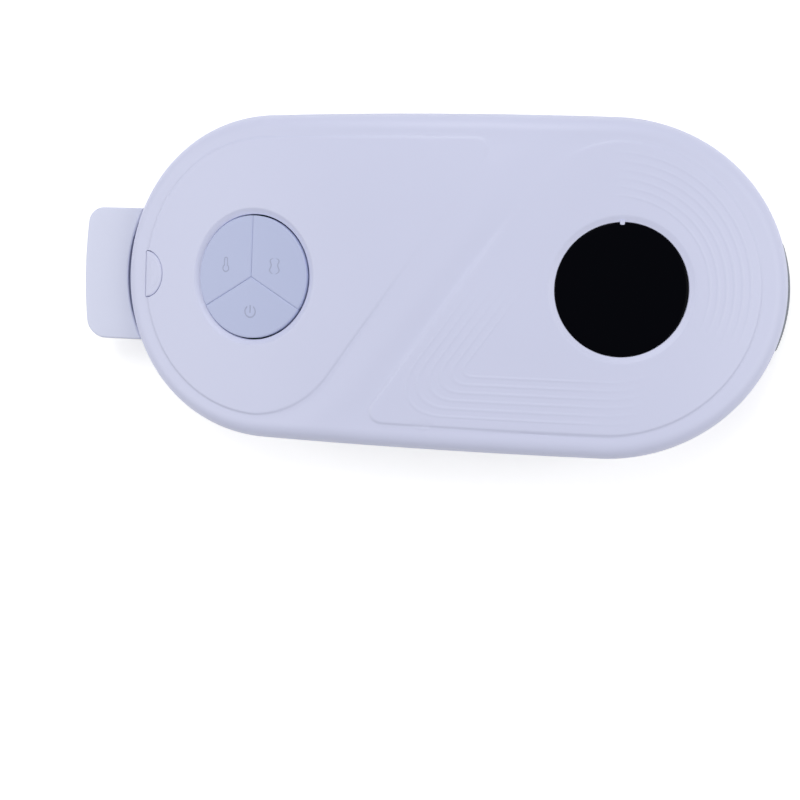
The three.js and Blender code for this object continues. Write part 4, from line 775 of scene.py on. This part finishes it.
def strap_mesh(name, line, bulge, width, thickness):
    """A strap along a line, thinner at its two woven edges; where bulge is true its right
    end follows the housing's end. Keeps the place along and across it for the weave."""
    x, z, heading = np.array(line.points).T
    run = np.concatenate([[0], np.cumsum(np.hypot(np.diff(x), np.diff(z)))])
    across = np.concatenate([[-1, -0.985, -0.96], np.linspace(-0.93, 0.93, 25), [0.96, 0.985, 1]])
    plump = thickness / 2 * np.array([0.45, 0.8, 0.97, *[1] * 25, 0.97, 0.8, 0.45])
    y = np.concatenate([across, across[::-1]]) * width / 2
    lift = np.concatenate([plump, -plump[::-1]])
    share = ease(BELT_FOLD_REACH, HALF_LENGTH - BELT_ANCHOR, x) if bulge else np.zeros(x.size)
    grid = join(
        x[:, None] - share[:, None] * end_fall(y) - np.sin(heading)[:, None] * lift,
        y,
        z[:, None] + np.cos(heading)[:, None] * lift,
    )
    start, end = (np.tile(ring.mean(axis=0), (1, y.size, 1)) for ring in (grid[0], grid[-1]))
    skin = Skin().patch(np.concatenate([start, grid, end]), closed=True)
    mesh = skin.mesh(name, weld=0.0005)
    rows = np.concatenate([[run[0]], run, [run[-1]]])
    note(mesh, "along", np.repeat(rows, y.size)[skin.kept])
    note(mesh, "across", np.tile(y, rows.size)[skin.kept])
    return mesh


# Finishes.

def operator(operation):
    """A method of Flow that adds one Math node."""
    return lambda self, other: self.math(operation, self, other)


class Flow:
    """A socket's number in a material; arithmetic on it adds Math nodes."""

    def __init__(self, finish, socket):
        self.finish = finish
        self.socket = socket

    def math(self, operation, *values):
        return self.finish.node("ShaderNodeMath", {"operation": operation}, dict(enumerate(values)))

    __add__ = __radd__ = operator("ADD")
    __sub__ = operator("SUBTRACT")
    __mul__ = __rmul__ = operator("MULTIPLY")
    __truediv__ = operator("DIVIDE")
    __pow__ = operator("POWER")
    least = operator("MINIMUM")
    most = operator("MAXIMUM")

    def __rsub__(self, other):
        return self.math("SUBTRACT", other, self)

    def size(self):
        """The number without its sign."""
        return self.math("ABSOLUTE", self)

    def wave(self, pitch):
        """1 at each whole number of pitches and -1 halfway between."""
        return self.math("COSINE", self * (2 * math.pi / pitch))

    def far(self, other):
        """The distance of two lengths at right angles."""
        return (self * self + other * other) ** 0.5

    def stroke(self, width):
        """1 on a line where the number is about 0, and 0 beyond half the width."""
        return 1 - self.size().step(width * 0.3, width * 0.7)

    def bell(self, width):
        """1 where the number is 0, falling off on both sides as a bell curve."""
        return self.math("EXPONENT", (self / width) ** 2 * -1)

    def step(self, low, high):
        """0 below low, 1 above high, smooth between."""
        return self.finish.node("ShaderNodeMapRange", {"interpolation_type": "SMOOTHSTEP"}, {
            "Value": self, "From Min": low, "From Max": high,
        })


class Finish:
    """A material round one shader; what varies over the surface is linked, and what is the
    same all over is set on the shader's own sockets."""

    def __init__(self, name, color, roughness, **constants):
        self.material = bpy.data.materials.new(name)
        self.material.use_nodes = True
        self.tree = self.material.node_tree
        self.shader = self.tree.nodes["Principled BSDF"]
        self.shader.inputs["Base Color"].default_value = (*color, 1)
        self.shader.inputs["Roughness"].default_value = roughness
        for key, value in constants.items():
            self.shader.inputs[key.replace("_", " ")].default_value = value
        self.material.diffuse_color = (*color, 1)

    def node(self, kind, settings=None, values=None, output=0):
        """Adds a node, makes its settings, then sets or links its sockets."""
        node = self.tree.nodes.new(kind)
        for key, value in (settings or {}).items():
            setattr(node, key, value)
        for key, value in (values or {}).items():
            self.feed(node.inputs[key], value)
        return Flow(self, node.outputs[output])

    def feed(self, socket, value):
        """Links a Flow to a socket, or sets the socket."""
        if isinstance(value, Flow):
            self.tree.links.new(value.socket, socket)
        else:
            socket.default_value = value

    def place(self):
        """The point's own place in metres."""
        return self.node("ShaderNodeTexCoord", output="Object")

    def axes(self):
        """The point's own x and y in millimetres."""
        parts = self.node("ShaderNodeSeparateXYZ", None, {"Vector": self.place()}).socket.node
        return [Flow(self, parts.outputs[axis]) * 1000 for axis in "XY"]

    def number(self, name):
        """A number kept on the mesh's points."""
        return self.node("ShaderNodeAttribute", {"attribute_name": name}, output="Fac")

    def noise(self, scale, detail=2, stretch=None):
        """Cloudy noise at a scale per metre; stretch squeezes it along the axes."""
        place = self.place()
        if stretch:
            place = self.node("ShaderNodeMapping", None, {"Vector": place, "Scale": stretch})
        values = {"Vector": place, "Scale": scale, "Detail": detail}
        return self.node("ShaderNodeTexNoise", None, values)

    def mix(self, share, first, second):
        """Mixes two colours by a share."""
        first, second = ((*c, 1) if isinstance(c, tuple) else c for c in (first, second))
        values = {"Factor": share, 6: first, 7: second}
        return self.node("ShaderNodeMix", {"data_type": "RGBA"}, values, 2)

    def vary(self, **links):
        """Links the shader's sockets, an underscore in a name standing for a space."""
        for key, value in links.items():
            self.feed(self.shader.inputs[key.replace("_", " ")], value)
        return self

    def bump(self, height):
        """Raises the surface by a height in millimetres."""
        values = {"Height": height, "Distance": MM, "Strength": 1}
        return self.vary(Normal=self.node("ShaderNodeBump", None, values))


def shade(color, share):
    """A colour made darker or lighter by a factor."""
    return tuple(part * share for part in color)


def shell_finish(name, color=SHELL_WHITE):
    """Satin moulded plastic with a faint cloudiness in colour and gloss, its grain's height
    and its clouded colour."""
    finish = Finish(name, color, 0.42, Specular_IOR_Level=0.45)
    cloud = finish.noise(28, 3)
    clouded = finish.mix(cloud, shade(color, 0.975), color)
    finish.vary(Base_Color=clouded, Roughness=0.36 + cloud * 0.1)
    return finish, finish.noise(2600, 2) * 0.006, clouded


def face_finish():
    """The front shell's plastic, with the crease lines and the fine ridges raised in it."""
    finish, height, _ = shell_finish("shell_white_relief")
    for side in ("left", "right"):
        groove = finish.number(f"crease_{side}").bell(GROOVE_WIDTH)
        height = height - GROOVE_DEPTH * finish.number(f"crease_{side}_strength") * groove
    ridge = finish.number("ridge_depth")
    last = RIDGE_FIRST + RIDGE_PITCH * (RIDGE_COUNT - 1)
    inside = ridge.step(RIDGE_FIRST - 1, RIDGE_FIRST) * (1 - ridge.step(last, last + 1))
    crest = ((ridge - RIDGE_FIRST).wave(RIDGE_PITCH) * 0.5 + 0.5) ** 3
    return finish.bump(height + RIDGE_HEIGHT * crest * inside * finish.number("ridge_strength"))


def plain_finish(name, color, roughness, grain=0.01, scale=1800, **constants):
    """A material with a fine grain and a slight unevenness of colour."""
    finish = Finish(name, color, roughness, **constants)
    cloud = finish.noise(60, 3)
    finish.vary(Base_Color=finish.mix(cloud, shade(color, 0.92), color))
    return finish.bump(finish.noise(scale, 2) * grain)


def plastic(name, color):
    """The shell's plastic with nothing on it."""
    finish, height, _ = shell_finish(name, color)
    return finish.bump(height)


def power_sign(a, b):
    """A ring with a gap at its top and a bar in the gap."""
    ring = (a.far(b) - 1.95).stroke(0.42) * (1 - b.step(0.2, 0.5) * (1 - a.size().step(1.05, 1.25)))
    bar = a.far(((b - 0.85).size() - 1.1).most(0)).stroke(0.42)
    return ring.most(bar)


def heat_sign(a, b):
    """A thermometer: the outline of a bulb and its stem."""
    bulb = a.far(b + 1.15) - 1.15
    stem = a.far(((b - 0.4).size() - 1.45).most(0)) - 0.6
    return bulb.least(stem).stroke(0.36)


def massage_sign(a, b):
    """A body's outline from shoulders to hips, open at the neck and at the foot."""
    waist = 1.5 - (b - 0.3).wave(3.6) * 0.3
    close = (1 - (b / 2.6).size().least(1) ** 5) ** 0.5
    outline = (a.size() - waist * close).stroke(0.42)
    return outline * a.size().step(0.3, 0.5) * (1 - b.size().step(2.45, 2.65))


def release_finish():
    """The shell's plastic with two shallow arcs that mark the button."""
    finish, height, _ = shell_finish("release_white")
    away = finish.number("away")
    return finish.bump(height - ((away - 5.7).stroke(0.5) + (away - 3.6).stroke(0.5)) * 0.04)


def tab_finish():
    """The shell's plastic, a shade paler on the tab, with painted shade on the tongue and the tab's
    inner side: a dark grey that stands for the shadow in the gap at the housing's end."""
    finish, height, _ = shell_finish("tab_white", TAB_WHITE)
    # Painted shade on the tongue and the tab's inner side, for the shadow in the gap at the
    # housing's end.
    finish.vary(Base_Color=finish.mix(finish.number("tongue"), TAB_WHITE, TONGUE_GAP_SHADE))
    return finish.bump(height)


def lens_finish():
    """Polished black acrylic with the faintest unevenness in its gloss."""
    finish = Finish("lens_black", (0.0018, 0.002, 0.0034), 0.07, Specular_IOR_Level=0.02)
    return finish.vary(Roughness=0.05 + finish.noise(35, 2) * 0.03)


def key_finish(name, sign):
    """A key's plastic with its sign cut shallow into it and a shade darker."""
    finish, height, clouded = shell_finish(f"key_lilac_{name}", KEY_LILAC)
    mark = sign(finish.number("sign_s"), finish.number("sign_y"))
    finish.vary(Base_Color=finish.mix(mark * 0.85, clouded, shade(KEY_LILAC, 0.72)))
    return finish.bump(height - mark * 0.07)


def webbing_finish(color):
    """Woven elastic: rounded picks across it, cords along it, a plain selvage at both edges
    and threads of slightly different grey."""
    finish = Finish("belt_grey", color, 0.85, Sheen_Weight=0.25, Sheen_Roughness=0.6)
    along, across = finish.number("along"), finish.number("across")
    pick = along.wave(0.9) * 0.5 + 0.5
    cord = across.wave(1.2) * 0.5 + 0.5
    weave = (along.wave(1.8) * across.wave(1.2)) * 0.5 + 0.5
    edge = across.size().step(BELT_WIDTH / 2 - 2.2, BELT_WIDTH / 2 - 1.8)
    face = pick * 0.45 + cord * 0.2 + weave * 0.35
    height = face * (1 - edge) + edge * (pick * 0.5 + 0.4)
    threads = finish.noise(900, 3, stretch=(0.25, 1, 1))
    share = height * 0.7 + threads * 0.3
    finish.vary(Base_Color=finish.mix(share, shade(color, 0.62), shade(color, 1.16)))
    return finish.bump(height * 0.1 + finish.noise(3200, 3) * 0.03)


def knit_finish(color):
    """Soft knit over silicone: rows of small loops, faint mottling, and a soft sheen."""
    finish = Finish("pad_soft", color, 0.78, Sheen_Weight=0.35, Sheen_Roughness=0.5)
    x, y = finish.axes()
    loops = x.wave(0.9) * y.wave(1.1) * 0.5 + 0.5
    mottle = finish.noise(160, 3)
    seam = finish.number("seam")
    share = loops * 0.5 + mottle * 0.5 - seam * 0.25
    finish.vary(
        Base_Color=finish.mix(share, shade(color, 0.86), color),
        Roughness=0.7 + mottle * 0.14,
    )
    stitches = seam * (finish.number("along").wave(2.6) * 0.5 + 0.5)
    return finish.bump(loops * 0.07 + mottle * 0.02 - stitches * 0.25)


def foil_finish(color):
    """Amber film with the etched heating track that runs to and fro across it."""
    finish = Finish("heating_foil", color, 0.38)
    _, y = finish.axes()
    track = y.wave(5).step(-0.15, 0.15)
    finish.vary(
        Base_Color=finish.mix(track * 0.8, color, (0.28, 0.17, 0.1)),
        Roughness=0.34 + finish.noise(40, 2) * 0.12,
    )
    return finish.bump(track * 0.04)


def board_finish(color):
    """Solder mask over copper lines, with pale print specks and a fine surface."""
    finish = Finish("circuit_board", color, 0.36)
    values = {"Vector": finish.place(), "Scale": 260}
    cells = finish.node("ShaderNodeTexVoronoi", {"distance": "MANHATTAN"}, values, "Distance")
    lines = cells.step(0.32, 0.38)
    finish.vary(Base_Color=finish.mix(lines * 0.5, color, shade(color, 1.9)))
    return finish.bump(lines * 0.03 + finish.noise(1500, 2) * 0.01)


def metal_finish(name, color, roughness):
    """Plated metal: fine brushing along it and soft wear in its gloss."""
    finish = Finish(name, color, roughness, Metallic=1)
    brush = finish.noise(900, 3, stretch=(0.08, 1, 1))
    wear = finish.noise(90, 4)
    finish.vary(
        Roughness=roughness - 0.06 + wear * 0.12 + brush * 0.05,
        Base_Color=finish.mix(wear, shade(color, 0.9), color),
    )
    return finish.bump(brush * 0.008)


finishes = {
    "shell_white": plastic("shell_white", SHELL_WHITE),
    "key_grey": plastic("key_lilac", KEY_LILAC),
    "lens_black": lens_finish(),
    "pad_soft": knit_finish((0.5, 0.53, 0.62)),
    "foam": plain_finish("foam", (0.7, 0.68, 0.6), 0.95, 0.35, 900),
    "heating_foil": foil_finish((0.6, 0.3, 0.06)),
    "inner_plastic": plain_finish("inner_plastic", (0.78, 0.78, 0.76), 0.5),
    "dark_plastic": plain_finish("dark_plastic", (0.03, 0.03, 0.035), 0.5),
    "circuit_board": board_finish((0.02, 0.16, 0.06)),
    "battery_wrap": plain_finish("battery_wrap", (0.35, 0.4, 0.46), 0.35),
    "ribbon": plain_finish("ribbon", (0.72, 0.73, 0.76), 0.45),
    "steel": metal_finish("steel", (0.6, 0.61, 0.63), 0.32),
    "brass": metal_finish("heavy_alloy", (0.7, 0.5, 0.22), 0.35),
    "belt_grey": webbing_finish((0.21, 0.24, 0.29)),
}

# Every solid of the model starts with the finish of its material slot.
for part in frame["record"]["subparts"]:
    mesh = frame["nodes"][part["node"]].data
    mesh.materials.clear()
    mesh.materials.append(finishes[part["material_slot"]].material)


def port_place(a, b, h):
    """Points of the charging port's slab, which runs across the housing's long side."""
    return bend(join(a - ROUND_PLACE, h, b - 9.1))


def nub_place(a, b, h):
    """Points of the slab of the nub at the display's upper edge."""
    return bend(join(a + NUB_PLACE, b, h))


# Housing front with its relief.
release_cut = half_disc_body("release_cut", [
    (-RELEASE_GAP, -FACE_WALL - 2), (-RELEASE_GAP, -0.25), (-RELEASE_GAP - 0.25, 0.02),
    (-RELEASE_GAP - 0.25, 1),
])
slot_top = TAB_MIDDLE + TONGUE_THICKNESS / 2 + TONGUE_GAP
slot_low = slot_top - TONGUE_THICKNESS - 2 * TONGUE_GAP
slot_half = TONGUE_HALF + TONGUE_GAP
slot_path = rounded_box((-TAB_OUTER, -slot_half), (-TONGUE_END, slot_half), 0.5)
front_slot = slab("front_slot", slot_path, [(0, slot_top), (0, 0)], level)
back_slot = slab("back_slot", slot_path, [(0, slot_top), (0, slot_low)], level)
port = slab("port", rounded_box((-4.8, -1.9), (4.8, 1.9), 1.85), [(0, -35), (0, -62)], port_place)
nub_path = rounded_box((-0.75, LENS_OPENING - 0.9), (0.75, LENS_OPENING + 0.5), 0.45)
nub = slab("nub", nub_path, edged(-0.15, -1.6, 0.15), nub_place)
nub_cut = slab("nub_cut", nub_path, edged(1, -3, 0.15), nub_place)
front = combine(cut(front_mesh(), [release_cut, front_slot, port]), [nub], "UNION")
s, y, h = places(front).T
for side, label in ((1, "left"), (-1, "right")):
    depth, along = petal_depth(side * s, side * y, TIP_ROUND)
    groove = crease_shares(side * s, side * y, along, side)[1]
    note(front, f"crease_{label}", depth)
    note(front, f"crease_{label}_strength", groove * (h > -2))
note(front, "ridge_depth", petal_depth(-s, -y, RIDGE_ROUND)[0])
note(front, "ridge_strength", ridge_strength(s, y) * (h > -1))
piece("housing_front", front, "housing", "shell_white", "front_shell", face_finish())

# Keys, lens and release button.
keys = (
    ("heat_key", 150, heat_sign, -71.3, 3.8),
    ("massage_key", 30, massage_sign, -52.7, 3.7),
    ("power_key", -90, power_sign, -61.4, -11.6),
)
for name, turn, sign, sign_s, sign_y in keys:
    cap = key_mesh(f"{name}_cap", math.radians(turn))
    s, y, h = places(cap).T
    note(cap, "sign_s", s - sign_s)
    note(cap, "sign_y", y - sign_y)
    piece(f"{name}_cap", cap, name, "key_grey", name, key_finish(name, sign))
lens = cut(lens_mesh(), [nub_cut])
piece("display_glass", lens, "housing", "lens_black", "display_lens")
release = half_disc_body("release_cap", [
    (0, -RELEASE_SKIRT), (0, -0.55), (0.08, -0.3), (0.3, -0.14), (0.6, -0.08), (1.5, -0.02),
    (3, 0.05),
])
s, y, _ = places(release).T
note(release, "away", np.hypot(s + RELEASE_PLACE, y))
piece("release_cap", release, "release", "shell_white", "release_button", release_finish())

# Belt: it leaves the right end, curls under it, and lies in five layers in the arch.
exit_place = HALF_LENGTH + BELT_THICKNESS / 4
exit_x, _, exit_z = bend((exit_place, 0, -BELT_EXIT))
exit_way = -exit_place / FACE_RADIUS
inner_run = exit_place - HALF_LENGTH + BELT_ANCHOR
curl = (exit_z - FLOOR_LINE) / (1 + math.cos(exit_way))
push = BELT_OUTER - BELT_THICKNESS / 2 - curl - exit_x - curl * math.sin(exit_way)
ahead = push - inner_run
start = (exit_x + math.cos(exit_way) * ahead, exit_z + math.sin(exit_way) * ahead)


def belt_out():
    """The belt's line from its clamped end out of the slot and round under the housing."""
    line = BeltLine(*start, exit_way).run(inner_run)
    drop = line.points[-1][1] - FLOOR_LINE
    return line.turn(drop / (1 + math.cos(exit_way)), -(math.pi + exit_way))


belt = belt_out()
belt.run(belt.points[-1][0] - BELT_FOLD_REACH).run(2 * BELT_FOLD_REACH)
for layer in range(1, BELT_TURNS + 1):
    belt.turn(BELT_PITCH / 2, -math.pi if layer % 2 else math.pi).run(2 * BELT_FOLD_REACH)
slope_radius = BELT_THICKNESS * 3
belt.run(BELT_THICKNESS).turn(slope_radius, BELT_SLOPE)
rise = belt.points[-1][1] - FLOOR_LINE - slope_radius * (1 - math.cos(BELT_SLOPE))
belt.run(rise / math.sin(BELT_SLOPE)).turn(slope_radius, -BELT_SLOPE)
belt.run(belt.points[-1][0] + BELT_SEAM)
webbing = strap_mesh("belt_strap", belt, True, BELT_WIDTH, BELT_THICKNESS)
piece("belt_strap", webbing, "housing", "belt_grey", "belt_webbing")
belt_slot = strap_mesh("belt_slot", belt_out(), True, BELT_WIDTH + 0.6, BELT_THICKNESS + 0.6)

# The loop round the buckle's bar: its lower run meets the belt, its upper run lies on it.
loop_radius = BAR_RADIUS + LOOP_GAP + BELT_THICKNESS / 2
loop = BeltLine(-BELT_SEAM - LOOP_GAP, FLOOR_LINE, math.pi)
loop.run(-BAR_X - BELT_SEAM - LOOP_GAP).turn(loop_radius, -math.pi)
loop.turn(BELT_THICKNESS, -LOOP_SLOPE)
fall = loop.points[-1][1] - FLOOR_LINE - BELT_PITCH - BELT_THICKNESS * (1 - math.cos(LOOP_SLOPE))
loop.run(max(fall, 0.3) / math.sin(LOOP_SLOPE)).turn(BELT_THICKNESS, LOOP_SLOPE).run(4)
loop_strap = strap_mesh("belt_loop", loop, False, BELT_WIDTH, BELT_THICKNESS)
piece("belt_loop", loop_strap, "buckle", "belt_grey", "belt_buckle_loop")

buckle = buckle_mesh()
# Mask of the painted shade: the tongue and the tab's inner side, which lie in the shadowed gap at
# the housing's end.
x, y, z = bend(places(buckle)).T
reach = x + TAB_INNER - end_fall(np.clip(y, -TAB_HALF, TAB_HALF))
note(buckle, "tongue", (reach > 0.2) | ((reach > -0.2) & (z < TAB_TOP - 0.4)))
piece("buckle_tab", buckle, "buckle", "shell_white", "buckle_tongue", tab_finish())

# Back shell, contact pad and foam.
back = cut(back_mesh(), [back_slot, belt_slot, port])
piece("housing_back", back, "housing", "shell_white", "back_shell")
pad = pad_mesh()
s, y, h = places(pad).T
past = np.maximum(np.abs(s) - CAP_PLACE, 0)
oval = np.hypot(past / CAP_STRETCH, y)
turned = np.minimum(np.abs(s), CAP_PLACE) + HALF_WIDTH * np.arctan2(past, np.abs(y))
note(pad, "seam", np.exp(-((HALF_WIDTH - oval - PAD_SEAM) / 0.5) ** 2) * (h < -24))
note(pad, "along", turned)
cushion = piece("massage_pad", pad, "housing", "pad_soft", "contact_pad")
foam = oval_mesh("foam_sheet", [
    *closed_face(FOAM_INSET + 0.7, FOAM_HIGH)[::-1],
    (FOAM_INSET + 0.3, FOAM_HIGH - 0.05), (FOAM_INSET + 0.05, FOAM_HIGH - 0.3),
    (FOAM_INSET, FOAM_HIGH - 0.6),
    (FOAM_INSET + 0.05, FOAM_LOW + 0.3), (FOAM_INSET + 0.3, FOAM_LOW + 0.05),
    *closed_face(FOAM_INSET + 0.7, FOAM_LOW),
])
sensor_path = rounded_box((-2.8, -1.8), (2.8, 1.8), 0.3)
foam = cut(foam, [slab("sensor_cut", sensor_path, [(0, APEX - 21.4), (0, APEX - 24)], level)])
sheet = piece("foam_sheet", foam, "housing", "foam", "insulation_foam")


# Floor, light and camera.

def stage():
    """A plain pale floor that is white to the camera away from the object's shadow."""
    floor = bpy.data.meshes.new("floor")
    corners = np.array([(-1, -1, 0), (1, -1, 0), (1, 1, 0), (-1, 1, 0)]) * FLOOR_REACH
    floor.from_pydata(corners.tolist(), [], [(0, 1, 2, 3)])
    finish = Finish("floor_white", (0.9, 0.9, 0.91), 0.9, Emission_Color=(1, 1, 1, 1))
    paths = finish.tree.nodes.new("ShaderNodeLightPath")
    seen, mirrored = (Flow(finish, paths.outputs[f"Is {ray} Ray"]) for ray in ("Camera", "Glossy"))
    finish.vary(Emission_Strength=seen.most(mirrored) * FLOOR_GLOW)
    floor.materials.append(finish.material)
    add("floor", floor)


def lamp(name, place, size, power):
    """A square soft lamp at a place in metres, turned to the housing."""
    light = bpy.data.lights.new(name, "AREA")
    light.shape = "SQUARE"
    light.size = size
    light.energy = power
    obj = add(name, light)
    obj.location = place
    obj.rotation_euler = (Vector(LAMP_AIM) - Vector(place)).to_track_quat("-Z", "Y").to_euler()


def studio():
    """An even pale room that lights at a plain level and is white to the camera."""
    world = bpy.data.worlds.new("studio")
    world.use_nodes = True
    tree = world.node_tree
    paths = tree.nodes.new("ShaderNodeLightPath")
    level = tree.nodes.new("ShaderNodeMapRange")
    level.inputs["To Min"].default_value = ROOM_LEVEL
    level.inputs["To Max"].default_value = 1
    back = tree.nodes["Background"].inputs
    back["Color"].default_value = (1, 1, 1, 1)
    tree.links.new(paths.outputs["Is Camera Ray"], level.inputs["Value"])
    tree.links.new(level.outputs["Result"], back["Strength"])
    bpy.context.scene.world = world


def camera():
    """The camera of the photograph: above the display, leaning a little to the left."""
    data = bpy.data.cameras.new("camera")
    data.sensor_width = 36
    data.lens = CAMERA_LENS
    obj = add("camera", data)
    look = Vector(CAMERA_LOOK).normalized()
    right = look.cross(Vector(CAMERA_UP)).normalized()
    up = right.cross(look)
    turn = Matrix((right, up, -look)).transposed().to_4x4()
    spot = Vector(CAMERA_PLACE) + Vector((0, 0, APEX))
    obj.matrix_world = Matrix.Translation(spot * MM) @ turn
    bpy.context.scene.camera = obj


camera()
stage()
lamp("key_softbox", (-0.1, 0.75, 1.1), 0.8, 5.9)
lamp("left_softbox", (-1.0, 0, 0.75), 0.8, 3.9)
lamp("right_softbox", (1.0, 0, 0.75), 0.7, 4.6)
studio()
bpy.context.scene.view_settings.view_transform = "Standard"
